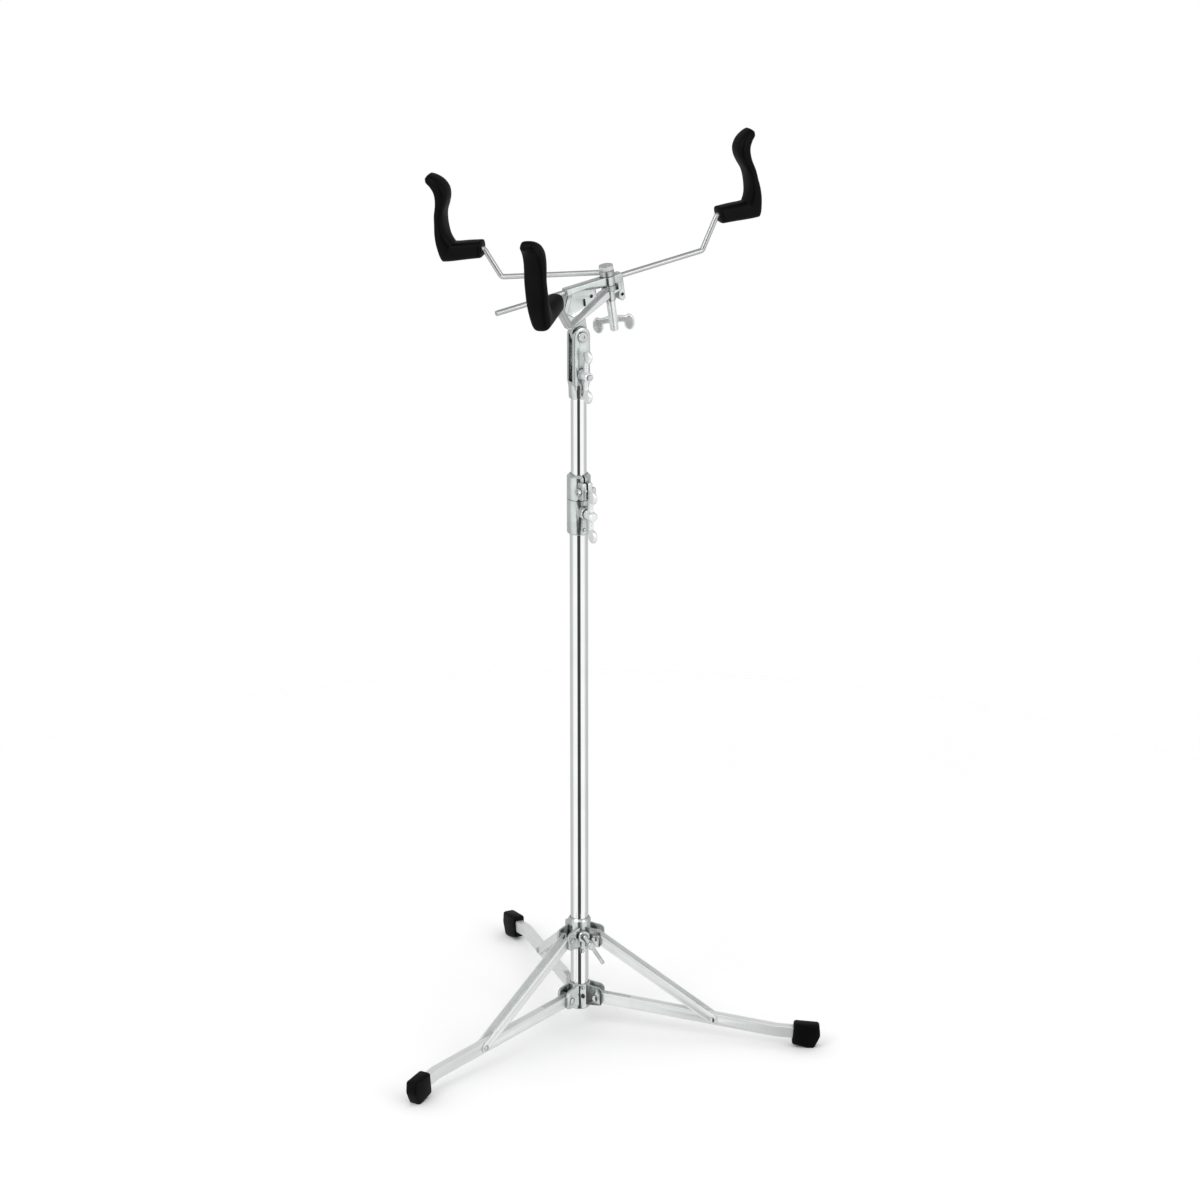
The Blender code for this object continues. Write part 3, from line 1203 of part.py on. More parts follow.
def rubber_grip():
    """A moulded L-shaped grip: a level sleeve, then a flat upright blade with a thicker, curled head.
    Each row pairs a point of the outer side with one of the inner side and gives half the width there.
    The rows are in the grip's own unit, which the last point's height sets."""
    rows = [
        ((3.2, -10.8), (1.2, 10.6), 10.5),
        ((19, -12.4), (20, 9.6), 11),
        ((48.5, -15.7), (36, 8.3), 11.5),
        ((56, -13.2), (39, 10), 12),
        ((59.5, 4), (42.5, 16), 12.7),
        ((59.5, 19), (44.2, 23), 13.2),
        ((57.6, 32), (44.8, 34), 13.3),
        ((56, 44), (43.3, 45), 13.3),
        ((53, 56), (38.4, 56.5), 13.3),
        ((52.1, 65), (35.3, 66), 13.2),
        ((53, 73), (35.5, 76), 13),
        ((57, 80), (41, 85.5), 12),
        ((61.5, 84.5), (50, 92), 10),
        ((62, 90), (57, 94.5), 6.5),
    ]
    unit = GRIP_TALL / rows[-1][1][1]
    segments = 16
    vertices = []
    faces = []
    for outer, inner, half_width in rows:
        outer_point = Vector(outer)
        inner_point = Vector(inner)
        middle = (outer_point + inner_point) / 2
        half = (outer_point - inner_point) / 2
        for k in range(segments):
            angle = 2 * pi * k / segments
            point = middle + half * softened(cos(angle))
            sideways = half_width * softened(sin(angle))
            vertices.append((point.x * unit, sideways * unit, point.y * unit))
    for i in range(len(rows) - 1):
        for k in range(segments):
            n = (k + 1) % segments
            a = i * segments
            b = a + segments
            faces.append((a + k, a + n, b + n, b + k))
    faces.append(tuple(range(segments)))
    last = (len(rows) - 1) * segments
    faces.append(tuple(range(last, last + segments)))
    return shape_from(vertices, faces)


def softened(value):
    """Turns a circle into a rounded rectangle."""
    size = abs(value) ** 0.7
    return size if value >= 0 else -size


# Assembly

def build_base(looks):
    """Everything that stands on the floor."""
    base = frame("base_frame", None)
    build_lower_tube(looks["chrome"], base)
    build_hub(looks["casting"], base)
    build_hub_screws(looks["dark"], looks["steel"], base)
    build_leg_pins(looks["steel"], base)
    build_height_clamp(looks["casting"], base)
    build_clamp_pin(looks["steel"], base)
    build_clamp_shoe(looks["brass"], base)
    for index in range(LEG_COUNT):
        build_leg_group(index, looks, base)
    build_collar_group(looks, base)
    screw_turn = along(polar(SCREW_SIDE)) @ about('Z', pi / 2)
    screw = frame("clamp_screw_frame", base, up(CLAMP_SCREW_HEIGHT), screw_turn)
    build_clamp_screw(looks["casting"], screw)
    return base


def build_leg_group(index, looks, base):
    """The frame on the leg's pin has X along the leg and Y along the pin."""
    azimuth = leg_azimuth(index)
    pin_spot = spot(azimuth, LEG_PIN_REACH, LEG_PIN_HEIGHT)
    turn = about('Z', azimuth) @ about('Y', LEG_SLOPE)
    leg_frame = frame(f"leg_frame_{index + 1}", base, pin_spot, turn)
    build_leg(index, looks["plate"], looks["rubber"], looks["steel"], leg_frame)
    brace_turn = about('Y', -BRACE_DIRECTION - LEG_SLOPE)
    brace_frame = frame(f"brace_frame_{index + 1}", leg_frame, (BRACE_RIVET_ALONG_LEG, 0, 0), brace_turn)
    build_brace(index, looks["plate"], brace_frame)


def build_collar_group(looks, base):
    """The collar and the T-screw that turns in it."""
    collar = frame("collar_frame", base, up(COLLAR_PIN_HEIGHT))
    build_collar(looks["casting"], looks["steel"], collar)
    turn = along(polar(SCREW_AZIMUTH)) @ about('Z', T_BAR_TURN)
    screw = frame("collar_screw_frame", collar, up(COLLAR_SCREW_ABOVE_PIN), turn)
    build_collar_screw(looks["steel"], screw)


def build_mast(looks, base):
    """The memory lock turns on the clamp; the upper tube and the fork slide in both."""
    lock = frame("memory_lock_frame", base, up(LOCK_BOTTOM))
    build_memory_lock(looks["casting"], looks["steel"], lock)
    fork = frame("fork_frame", lock, up(TILT_HEIGHT - LOCK_BOTTOM), about('Z', MAST_AZIMUTH))
    build_upper_tube(looks["chrome"], fork)
    build_fork(looks["casting"], fork)
    build_tilt_bolts(looks["steel"], fork)
    nut_turn = along((0, -1, 0)) @ about('Z', pi / 2)
    nut = frame("tilt_nut_frame", fork, (0, 0, -TILT_LOCK_DROP), nut_turn)
    build_tilt_wing_nut(looks["casting"], nut)
    return fork


def build_basket(looks, fork):
    """The casting tilts in the fork; the arms slide or swing on its clamp bolt."""
    basket = frame("basket_frame", fork, (0, 0, 0), about('Y', -TILT_REST))
    build_basket_casting(looks["casting"], basket)
    build_clamp_bolt(looks["steel"], basket)
    bolt_foot = (CLAMP_BOLT_ALONG, 0, 0)
    nut = frame("basket_nut_frame", basket, bolt_foot, about('Z', BASKET_WING_TURN) @ about('X', pi))
    build_basket_wing_nut(looks["casting"], nut)
    steel = looks["chrome"]
    rubber = looks["rubber"]
    slide = frame("sliding_arm_frame", basket, bolt_foot)
    slide_shape = (0, RISE_LEAN, 0)
    build_arm("sliding", SLIDE_ROD_HEIGHT, -ROD_TAIL, slide_shape, steel, rubber, slide)
    left = frame("left_arm_frame", basket, bolt_foot, about('Z', LEFT_ARM_ANGLE))
    left_shape = (LEFT_ARM_DIP, LEFT_RISE_LEAN, 0)
    build_arm("left", TOP_EYE_HEIGHT, ROD_ROOT, left_shape, steel, rubber, left)
    front = frame("front_arm_frame", basket, bolt_foot, about('Z', FRONT_ARM_ANGLE))
    front_shape = (0, RISE_LEAN, FRONT_GRIP_DROP)
    build_arm("front", LOW_EYE_HEIGHT, ROD_ROOT, front_shape, steel, rubber, front)


def centre_on_floor(base):
    """Put the origin on the floor, in the middle of the box that the stand fills."""
    bpy.context.view_layer.update()
    shapes = [piece for piece in bpy.data.objects if piece.type == 'MESH']
    corners = [piece.matrix_world @ vertex.co for piece in shapes for vertex in piece.data.vertices]
    for axis in range(2):
        low = min(corner[axis] for corner in corners)
        high = max(corner[axis] for corner in corners)
        base.location[axis] -= (low + high) / 2


def main():
    for old in list(bpy.data.objects):
        bpy.data.objects.remove(old)
    looks = {
        "chrome": metal("mirror_chrome", (0.86, 0.87, 0.88), 0.06),
        "casting": metal("plated_casting", (0.72, 0.74, 0.73), 0.16),
        "plate": metal("plated_steel", (0.80, 0.80, 0.80), 0.24),
        "steel": metal("plated_hardware", (0.74, 0.75, 0.76), 0.18),
        "brass": metal("brass", (0.72, 0.55, 0.26), 0.35),
        "dark": metal("blackened_steel", (0.10, 0.10, 0.11), 0.4),
        "rubber": surface("black_rubber", (0.012, 0.012, 0.013), 0.6, 0.0),
    }
    base = build_base(looks)
    fork = build_mast(looks, base)
    build_basket(looks, fork)
    centre_on_floor(base)


main()
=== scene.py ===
# %% [markdown]
# # A chrome tom stand
# This lesson dresses a packed drum stand: mirror chrome, plated castings, pressed steel legs and moulded rubber.
# Every size is in metres. The origin is on the floor, in the middle of the box that the stand fills.

# %% Load the frame
import json
from math import acos, atan2, cos, degrees, pi, radians, sin

import bmesh
import bpy
from mathutils import Matrix, Vector


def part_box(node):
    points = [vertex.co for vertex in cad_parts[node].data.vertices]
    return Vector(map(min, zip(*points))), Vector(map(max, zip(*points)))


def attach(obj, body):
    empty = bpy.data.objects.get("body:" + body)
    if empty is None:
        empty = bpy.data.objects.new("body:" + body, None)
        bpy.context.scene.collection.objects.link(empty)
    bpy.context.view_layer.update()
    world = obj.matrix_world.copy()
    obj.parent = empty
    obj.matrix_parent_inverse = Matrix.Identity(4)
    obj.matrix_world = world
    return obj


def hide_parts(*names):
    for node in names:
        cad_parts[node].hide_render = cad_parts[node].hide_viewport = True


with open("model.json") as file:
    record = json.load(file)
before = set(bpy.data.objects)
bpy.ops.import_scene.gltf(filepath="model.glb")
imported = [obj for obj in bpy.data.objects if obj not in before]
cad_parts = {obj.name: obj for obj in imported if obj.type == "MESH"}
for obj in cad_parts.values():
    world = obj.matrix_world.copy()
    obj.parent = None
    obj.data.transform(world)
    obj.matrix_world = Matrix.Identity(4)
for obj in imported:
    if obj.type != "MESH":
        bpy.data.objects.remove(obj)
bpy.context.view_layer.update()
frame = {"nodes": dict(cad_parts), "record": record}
MM = 0.001

# %% [markdown]
# The mast doesn't stand in the middle of that box, because two arms reach one way. Its tube says where it stands,
# and the camera, the lights and everything round the mast are placed from there.

# %% Find the mast
tube_low, tube_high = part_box("lower_tube")
MAST = Vector(((tube_low.x + tube_high.x) / 2, (tube_low.y + tube_high.y) / 2, 0))
print("mast at", [round(v, 4) for v in MAST])

# %% [markdown]
# ## The camera
# The photograph looks down a little, from far away with a long lens.
# The view was solved on the stand itself: where the tubes stand, how far the feet reach and how round the hub looks.

# %% Place the camera
VIEW_TURN = radians(13.8)
VIEW_DOWN = radians(19.54)
VIEW_DISTANCE = 5.1079
LOOK_HEIGHT = 0.56507
LOOK_ASIDE = 0.02546
SENSOR_WIDTH = 36.0
FOCAL_SHARE = 4224 / 1200

forward = Vector((0, cos(VIEW_DOWN), -sin(VIEW_DOWN)))
eye = Vector((LOOK_ASIDE, 0, LOOK_HEIGHT)) - forward * VIEW_DISTANCE
turn = Matrix.Rotation(VIEW_TURN, 3, 'Z')
bpy.ops.object.camera_add(location=MAST + turn @ eye)
camera = bpy.context.object
camera.name = "photo_camera"
camera.rotation_euler = (pi / 2 - VIEW_DOWN, 0, VIEW_TURN)
camera.data.sensor_width = SENSOR_WIDTH
camera.data.lens = SENSOR_WIDTH * FOCAL_SHARE
camera.data.clip_end = 50
bpy.context.scene.camera = camera
bpy.context.scene.view_settings.view_transform = 'Standard'
print("camera at", [round(v, 3) for v in camera.location])

# %% [markdown]
# ## Node helpers
# Each finish is a small shader graph. These helpers add a node, join two nodes and start a Principled material
# whose pattern is read from the Object coordinates, so it keeps its size on every piece.


# %% Shader helpers
def node(tree, kind, **settings):
    """Add a shader node; inputs are set by name, with underscores for spaces."""
    made = tree.nodes.new(kind)
    for key, value in settings.items():
        if hasattr(made, key):
            setattr(made, key, value)
        else:
            made.inputs[key.replace("_", " ")].default_value = value
    return made


def wire(tree, source, target, output=0):
    """Link a node's output to a socket."""
    tree.links.new(source.outputs[output], target)


def new_finish(name):
    """A material with its Principled shader and the Object coordinates."""
    made = bpy.data.materials.new(name)
    made.use_nodes = True
    tree = made.node_tree
    place = node(tree, "ShaderNodeTexCoord")
    return made, tree, tree.nodes["Principled BSDF"], place


def noise(tree, place, scale, detail=3.0, stretch=(1, 1, 1)):
    """A noise pattern of a given scale, stretched along the axes."""
    mapping = node(tree, "ShaderNodeMapping")
    mapping.inputs["Scale"].default_value = stretch
    wire(tree, place, mapping.inputs["Vector"], "Object")
    pattern = node(tree, "ShaderNodeTexNoise", Scale=scale, Detail=detail)
    wire(tree, mapping, pattern.inputs["Vector"])
    return pattern


def ramp(tree, source, low, high, low_value, high_value, output=0):
    """Map a grey pattern onto a range of values."""
    made = node(tree, "ShaderNodeMapRange")
    for key, value in (("From Min", low), ("From Max", high), ("To Min", low_value), ("To Max", high_value)):
        made.inputs[key].default_value = value
    wire(tree, source, made.inputs["Value"], output)
    return made


def product(tree, first, second):
    """Multiply two grey patterns."""
    made = node(tree, "ShaderNodeMath", operation='MULTIPLY')
    wire(tree, first, made.inputs[0])
    wire(tree, second, made.inputs[1])
    return made


def blend_colours(tree, source, low, high, first, second):
    """Mix two colours by a grey pattern."""
    made = node(tree, "ShaderNodeValToRGB")
    made.color_ramp.elements[0].position = low
    made.color_ramp.elements[0].color = (*first, 1)
    made.color_ramp.elements[1].position = high
    made.color_ramp.elements[1].color = (*second, 1)
    wire(tree, source, made.inputs["Fac"])
    return made


def bump(tree, shader, source, strength, distance):
    """Turn a pattern into small relief."""
    made = node(tree, "ShaderNodeBump", Strength=strength, Distance=distance)
    wire(tree, source, made.inputs["Height"])
    wire(tree, made, shader.inputs["Normal"])
    return made


# %% [markdown]
# ## Finishes
# Mirror chrome is almost colourless and very smooth, with hairline polishing marks along the tube.
# The castings are plated too, but their skin is a little wavy. The legs are pressed sheet with a paler, softer plate.


# %% Metal finishes
def make_chrome():
    made, tree, shader, place = new_finish("mirror_chrome")
    shader.inputs["Metallic"].default_value = 1.0
    smudge = noise(tree, place, 24, 4)
    tint = blend_colours(tree, smudge, 0.3, 0.8, (0.93, 0.935, 0.94), (0.86, 0.87, 0.875))
    wire(tree, tint, shader.inputs["Base Color"])
    marks = noise(tree, place, 700, 2, (1, 1, 0.06))
    wire(tree, ramp(tree, marks, 0.35, 0.75, 0.035, 0.10), shader.inputs["Roughness"])
    bump(tree, shader, marks, 0.02, 0.00005)
    return made


def painted_crevice_shade(tree, tint, reach, share):
    """Darken a colour where two surfaces come close: painted shade in the corners and crevices of a casting."""
    near = node(tree, "ShaderNodeAmbientOcclusion", Distance=reach)
    near.samples = 8
    dark = ramp(tree, near, 0.35, 0.95, share, 1, "AO")
    made = node(tree, "ShaderNodeMix", data_type='RGBA', blend_type='MULTIPLY')
    made.inputs["Factor"].default_value = 1
    wire(tree, tint, made.inputs["A"])
    wire(tree, dark, made.inputs["B"])
    return made


def make_casting():
    made, tree, shader, place = new_finish("plated_casting")
    shader.inputs["Metallic"].default_value = 1.0
    cloud = noise(tree, place, 60, 4)
    tint = blend_colours(tree, cloud, 0.3, 0.75, (0.72, 0.76, 0.75), (0.56, 0.60, 0.59))
    # painted shade: the casting's base colour is darkened in its corners and crevices
    tree.links.new(painted_crevice_shade(tree, tint, 7 * MM, 0.3).outputs["Result"], shader.inputs["Base Color"])
    wire(tree, ramp(tree, cloud, 0.3, 0.8, 0.16, 0.28), shader.inputs["Roughness"])
    skin = noise(tree, place, 110, 2)
    bump(tree, shader, skin, 0.35, 0.0006)
    return made


def make_wing():
    made, tree, shader, place = new_finish("pale_wing_casting")
    shader.inputs["Metallic"].default_value = 0.6
    cloud = noise(tree, place, 70, 4)
    tint = blend_colours(tree, cloud, 0.3, 0.75, (0.86, 0.88, 0.88), (0.74, 0.76, 0.76))
    wire(tree, tint, shader.inputs["Base Color"])
    wire(tree, ramp(tree, cloud, 0.3, 0.8, 0.22, 0.34), shader.inputs["Roughness"])
    skin = noise(tree, place, 140, 2)
    bump(tree, shader, skin, 0.25, 0.0004)
    return made


def make_rod_steel():
    made, tree, shader, place = new_finish("satin_rod")
    shader.inputs["Metallic"].default_value = 1.0
    smudge = noise(tree, place, 30, 4)
    tint = blend_colours(tree, smudge, 0.3, 0.8, (0.60, 0.61, 0.615), (0.48, 0.49, 0.495))
    wire(tree, tint, shader.inputs["Base Color"])
    marks = noise(tree, place, 800, 2)
    wire(tree, ramp(tree, marks, 0.35, 0.75, 0.30, 0.44), shader.inputs["Roughness"])
    bump(tree, shader, marks, 0.03, 0.00005)
    return made


def make_plate():
    made, tree, shader, place = new_finish("plated_sheet")
    shader.inputs["Metallic"].default_value = 0.7
    grain = noise(tree, place, 900, 3)
    cloud = noise(tree, place, 22, 3)
    tint = blend_colours(tree, cloud, 0.25, 0.8, (0.90, 0.92, 0.91), (0.82, 0.84, 0.83))
    wire(tree, tint, shader.inputs["Base Color"])
    wire(tree, ramp(tree, cloud, 0.3, 0.8, 0.40, 0.48), shader.inputs["Roughness"])
    bump(tree, shader, grain, 0.03, 0.0001)
    return made


def make_hardware():
    made, tree, shader, place = new_finish("plated_hardware")
    shader.inputs["Metallic"].default_value = 1.0
    cloud = noise(tree, place, 150, 4)
    tint = blend_colours(tree, cloud, 0.3, 0.8, (0.68, 0.69, 0.69), (0.50, 0.51, 0.52))
    wire(tree, tint, shader.inputs["Base Color"])
    wire(tree, ramp(tree, cloud, 0.3, 0.8, 0.12, 0.3), shader.inputs["Roughness"])
    bump(tree, shader, noise(tree, place, 900, 2), 0.08, 0.0001)
    return made


def make_brass():
    made, tree, shader, place = new_finish("turned_brass")
    shader.inputs["Metallic"].default_value = 1.0
    cloud = noise(tree, place, 120, 4)
    tint = blend_colours(tree, cloud, 0.3, 0.8, (0.78, 0.60, 0.28), (0.55, 0.40, 0.17))
    wire(tree, tint, shader.inputs["Base Color"])
    wire(tree, ramp(tree, cloud, 0.3, 0.8, 0.25, 0.45), shader.inputs["Roughness"])
    return made


def make_dark_steel():
    made, tree, shader, place = new_finish("blackened_steel")
    shader.inputs["Metallic"].default_value = 1.0
    cloud = noise(tree, place, 300, 4)
    tint = blend_colours(tree, cloud, 0.3, 0.8, (0.05, 0.05, 0.055), (0.12, 0.12, 0.125))
    wire(tree, tint, shader.inputs["Base Color"])
    wire(tree, ramp(tree, cloud, 0.3, 0.8, 0.35, 0.5), shader.inputs["Roughness"])
    return made


# %% [markdown]
# Rubber is nearly black and matt. Its grain is a fine bump, and handling leaves slightly greyer, smoother places.


# %% Rubber finish
def make_rubber():
    made, tree, shader, place = new_finish("moulded_rubber")
    wear = noise(tree, place, 38, 5)
    tint = blend_colours(tree, wear, 0.35, 0.85, (0.0012, 0.0012, 0.0012), (0.0035, 0.0035, 0.0036))
    wire(tree, tint, shader.inputs["Base Color"])
    wire(tree, ramp(tree, wear, 0.3, 0.8, 0.50, 0.36), shader.inputs["Roughness"])
    grain = noise(tree, place, 1500, 3)
    bump(tree, shader, grain, 0.12, 0.0002)
    shader.inputs["Specular IOR Level"].default_value = 0.08
    return made


finishes = {
    "chrome": make_chrome(),
    "casting": make_casting(),
    "plate": make_plate(),
    "steel": make_hardware(),
    "brass": make_brass(),
    "dark": make_dark_steel(),
    "rubber": make_rubber(),
}
rod_steel = make_rod_steel()
wing_casting = make_wing()
print("finishes:", ", ".join(finishes))

# %% [markdown]
# ## Which piece belongs where
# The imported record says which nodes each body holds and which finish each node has.

# %% Look up bodies and finishes
body_of_node = {}
for body, held in frame["record"]["behaviour"]["bodies"].items():
    for name in held:
        body_of_node[name] = body
slot_of_node = {entry["node"]: entry["material_slot"] for entry in frame["record"]["subparts"]}


# %% [markdown]
# ## Broken edges
# A plated part never has razor edges. Each solid is copied, its loose triangles are merged into clean faces,
# and a small bevel rounds every edge sharper than thirty degrees.


# %% Copy a solid and round its edges
def select_only(piece):
    bpy.ops.object.select_all(action='DESELECT')
    piece.select_set(True)
    bpy.context.view_layer.objects.active = piece


def copy_of(name, edge):
    """A clean, softly edged copy of a CAD node that replaces it."""
    source = frame["nodes"][name]
    made = bpy.data.objects.new(name + "_finished", source.data.copy())
    bpy.context.scene.collection.objects.link(made)
    select_only(made)
    bpy.ops.object.mode_set(mode='EDIT')
    bpy.ops.mesh.select_all(action='SELECT')
    bpy.ops.mesh.remove_doubles(threshold=0.01 * MM)
    bpy.ops.mesh.dissolve_limited(angle_limit=radians(0.5))
    bpy.ops.mesh.normals_make_consistent(inside=False)
    bpy.ops.object.mode_set(mode='OBJECT')
    made.data.materials.clear()
    made.data.materials.append(wing_casting if "wing" in name else finishes[slot_of_node[name]])
    if edge:
        rounding = made.modifiers.new("edges", 'BEVEL')
        rounding.width = edge
        rounding.segments = 2
        rounding.limit_method = 'ANGLE'
        rounding.angle_limit = radians(30)
        rounding.use_clamp_overlap = True
        bpy.ops.object.modifier_apply(modifier="edges")
    crease = 70 if slot_of_node[name] == "rubber" else 32
    bpy.ops.object.shade_smooth_by_angle(angle=radians(crease))
    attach(made, body_of_node[name])
    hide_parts(name)
    return made


# %% [markdown]
# ## Round pieces, ring by ring
# Tubes, rods, bosses and grips are all one idea: a filled circle is extruded from ring to ring.
# Each ring says where its middle is, how wide it is both ways and how far it leans.


# %% The ring tool
def ring_at(x, z, across, sideways=None, lean=0.0):
    """A ring in the XZ plane of a piece: its middle, its two half widths and its lean about Y."""
    size = Matrix.Diagonal((across, sideways or across, 1, 1))
    return Matrix.Translation((x, 0, z)) @ Matrix.Rotation(-lean, 4, 'Y') @ size


def carry(step):
    """Move the selected ring by one 4x4 step."""
    edit = bmesh.from_edit_mesh(bpy.context.edit_object.data)
    for vert in edit.verts:
        if vert.select:
            vert.co = step @ vert.co
    bmesh.update_edit_mesh(bpy.context.edit_object.data)


def stacked(name, rings, segments=48, reshape=None):
    """Extrude a filled circle from ring to ring into one closed piece; reshape may press the circle first."""
    bpy.ops.object.select_all(action='DESELECT')
    bpy.ops.mesh.primitive_circle_add(vertices=segments, radius=1, fill_type='NGON')
    made = bpy.context.object
    made.name = name
    if reshape:
        reshape(made)
    bpy.ops.object.mode_set(mode='EDIT')
    bpy.ops.mesh.select_all(action='SELECT')
    carry(rings[0])
    for before, after in zip(rings, rings[1:]):
        bpy.ops.mesh.extrude_region_move()
        carry(after @ before.inverted())
    bpy.ops.mesh.select_all(action='SELECT')
    bpy.ops.mesh.normals_make_consistent(inside=False)
    bpy.ops.object.mode_set(mode='OBJECT')
    return made


def turned(name, profile, segments=48):
    """A turned piece on the Z axis from (radius, height) points."""
    return stacked(name, [ring_at(0, height, radius) for radius, height in profile], segments)


def put_at(piece, place):
    """Lay a piece in the stand's frame, so that its object stays at the origin."""
    piece.matrix_world = place
    select_only(piece)
    bpy.ops.object.transform_apply(location=True, rotation=True, scale=True)
    return piece


def smoothed(piece, levels):
    """Round a piece with a subdivision surface and apply it."""
    select_only(piece)
    soft = piece.modifiers.new("soft", 'SUBSURF')
    soft.levels = levels
    soft.render_levels = levels
    bpy.ops.object.modifier_apply(modifier="soft")
    return piece


def fused(piece, *others):
    """Weld pieces that are one casting."""
    for other in others:
        select_only(piece)
        step = piece.modifiers.new("weld", 'BOOLEAN')
        step.operation = 'UNION'
        step.solver = 'EXACT'
        step.object = other
        bpy.ops.object.modifier_apply(modifier="weld")
        bpy.data.objects.remove(other)
    return piece


def finished(piece, *nodes, angle=32, finish=None):
    """Shade a piece, give it its finish and let it stand for its CAD nodes."""
    select_only(piece)
    piece.data.materials.clear()
    piece.data.materials.append(finish or finishes[slot_of_node[nodes[0]]])
    bpy.ops.object.shade_smooth_by_angle(angle=radians(angle))
    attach(piece, body_of_node[nodes[0]])
    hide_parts(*nodes)
    done.update(nodes)
    return piece


done = set()

# %% [markdown]
# ## The two tubes
# The lower tube carries the legs and the clamp, and the thinner upper tube slides in it.
# Their sizes are read from the frame, and a small chamfer breaks their ends.


# %% Turn the tubes
CHAMFER = 0.4 * MM


def make_tube(node_name):
    low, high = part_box(node_name)
    radius = (high.x - low.x) / 2
    profile = [
        (radius - CHAMFER, low.z),
        (radius, low.z + CHAMFER),
        (radius, high.z - CHAMFER),
        (radius - CHAMFER, high.z),
    ]
    tube = turned(node_name + "_chrome", profile, 72)
    return finished(put_at(tube, Matrix.Translation(MAST)), node_name)


for node_name in ("lower_tube", "upper_tube"):
    tube = make_tube(node_name)
    print(tube.name, [round(v, 4) for v in tube.dimensions])

# %% [markdown]
# ## Where the arms stand
# All three arms meet on one upright bolt. An arm's own frame has X outwards along the arm and Z along that bolt.
# The basket leans up by 8.5 degrees along the sliding arm, which points 42 degrees round from the first leg.

# %% The basket's frame
TILT_HEIGHT = 898 * MM
TILT_REST = radians(8.5)
MAST_AZIMUTH = radians(42.2)
BOLT_ALONG = 48 * MM
basket_frame = (
    Matrix.Translation(MAST + Vector((0, 0, TILT_HEIGHT)))
    @ Matrix.Rotation(MAST_AZIMUTH, 4, 'Z')
    @ Matrix.Rotation(-TILT_REST, 4, 'Y')
    @ Matrix.Translation((BOLT_ALONG, 0, 0))
)
ARM_TURN = {"sliding": 0.0, "left": radians(129), "front": radians(-139.5)}
print("clamp bolt at", [round(v, 4) for v in basket_frame.translation])

# %% [markdown]
# ## Arms
# Each arm is one bent rod. It runs out, rises at a sharp bend, levels again inside its grip and turns up there.
# The swinging arms end in an eye round the bolt, and the sliding arm runs right through it. The left arm's eye is
# the highest, so its rod dips a little on the way out, and the front grip sits 6 mm lower than the other two.


# %% Bend the arms
ROD_RADIUS = 3.25 * MM
BEND_RADIUS = 4.5 * MM
SLIDE_ROD_HEIGHT = 56.2 * MM
TOP_EYE_HEIGHT = 64.7 * MM
LOW_EYE_HEIGHT = 46.3 * MM
EYE_HALF = 3.4 * MM
EYE_RADIUS = 9 * MM
EYE_BORE = 5.3 * MM
ROD_TAIL = 150 * MM
ROD_ROOT = 7.2 * MM
GRIP_HEIGHT = 93.5 * MM
GRIP_REACH = 155.5 * MM
ROD_IN_GRIP = 51 * MM
ROD_UP_GRIP = 45 * MM
DIP = {"sliding": 0.0, "left": 7 * MM, "front": 0.0}
RISE_LEAN = {"sliding": 0.69, "left": 0.5, "front": 0.69}
GRIP_LEVEL = {"sliding": GRIP_HEIGHT, "left": GRIP_HEIGHT, "front": GRIP_HEIGHT - 6 * MM}


def bent_rings(corners, radius, bend, steps=10):
    """Rings along a bent rod: its corners in the XZ plane become arcs."""
    rings = []
    points = [Vector(c) for c in corners]
    first = (points[1] - points[0]).normalized()
    rings.append(along_rod(points[0], first, radius - CHAMFER))
    rings.append(along_rod(points[0] + first * CHAMFER, first, radius))
    for before, corner, after in zip(points, points[1:], points[2:]):
        back = (before - corner).normalized()
        ahead = (after - corner).normalized()
        half_angle = back.angle(ahead) / 2
        centre = corner + (back + ahead).normalized() * (bend / sin(half_angle))
        total = pi - 2 * half_angle
        side = 1 if back.x * ahead.y - back.y * ahead.x < 0 else -1
        for i in range(steps + 1):
            angle = side * total * i / steps
            heading = rotated(-back, angle)
            spot = centre + rotated(heading, -side * pi / 2) * bend
            rings.append(along_rod(spot, heading, radius))
    last = (points[-1] - points[-2]).normalized()
    rings.append(along_rod(points[-1] - last * CHAMFER, last, radius))
    rings.append(along_rod(points[-1], last, radius - CHAMFER))
    return rings


def rotated(vector, angle):
    """A flat vector turned by an angle."""
    return Vector((vector.x * cos(angle) - vector.y * sin(angle), vector.x * sin(angle) + vector.y * cos(angle)))


def along_rod(spot, heading, radius):
    """A ring square to the rod's heading."""
    return ring_at(spot.x, spot.y, radius, radius, atan2(heading.y, heading.x) - pi / 2)


def arm_corners(side, height, start):
    """Where the rod's centre line would turn if its bends were sharp."""
    low = height - DIP[side]
    level = GRIP_LEVEL[side]
    far = GRIP_REACH + ROD_IN_GRIP
    return [
        (start, height),
        (GRIP_REACH - (level - low) * RISE_LEAN[side], low),
        (GRIP_REACH, level),
        (far, level),
        (far - 0.03 * ROD_UP_GRIP, level + ROD_UP_GRIP),
    ]


def make_eye(height):
    """A flat eye with a rounded rim and a hole for the bolt."""
    rim = 0.8 * MM
    profile = [
        (EYE_BORE, height - EYE_HALF + 2 * rim),
        (EYE_BORE, height - EYE_HALF),
        (EYE_RADIUS - rim, height - EYE_HALF),
        (EYE_RADIUS, height - EYE_HALF + rim),
        (EYE_RADIUS, height + EYE_HALF - rim),
        (EYE_RADIUS - rim, height + EYE_HALF),
        (EYE_BORE, height + EYE_HALF),
        (EYE_BORE, height + EYE_HALF - 2 * rim),
    ]
    return turned("eye", profile)


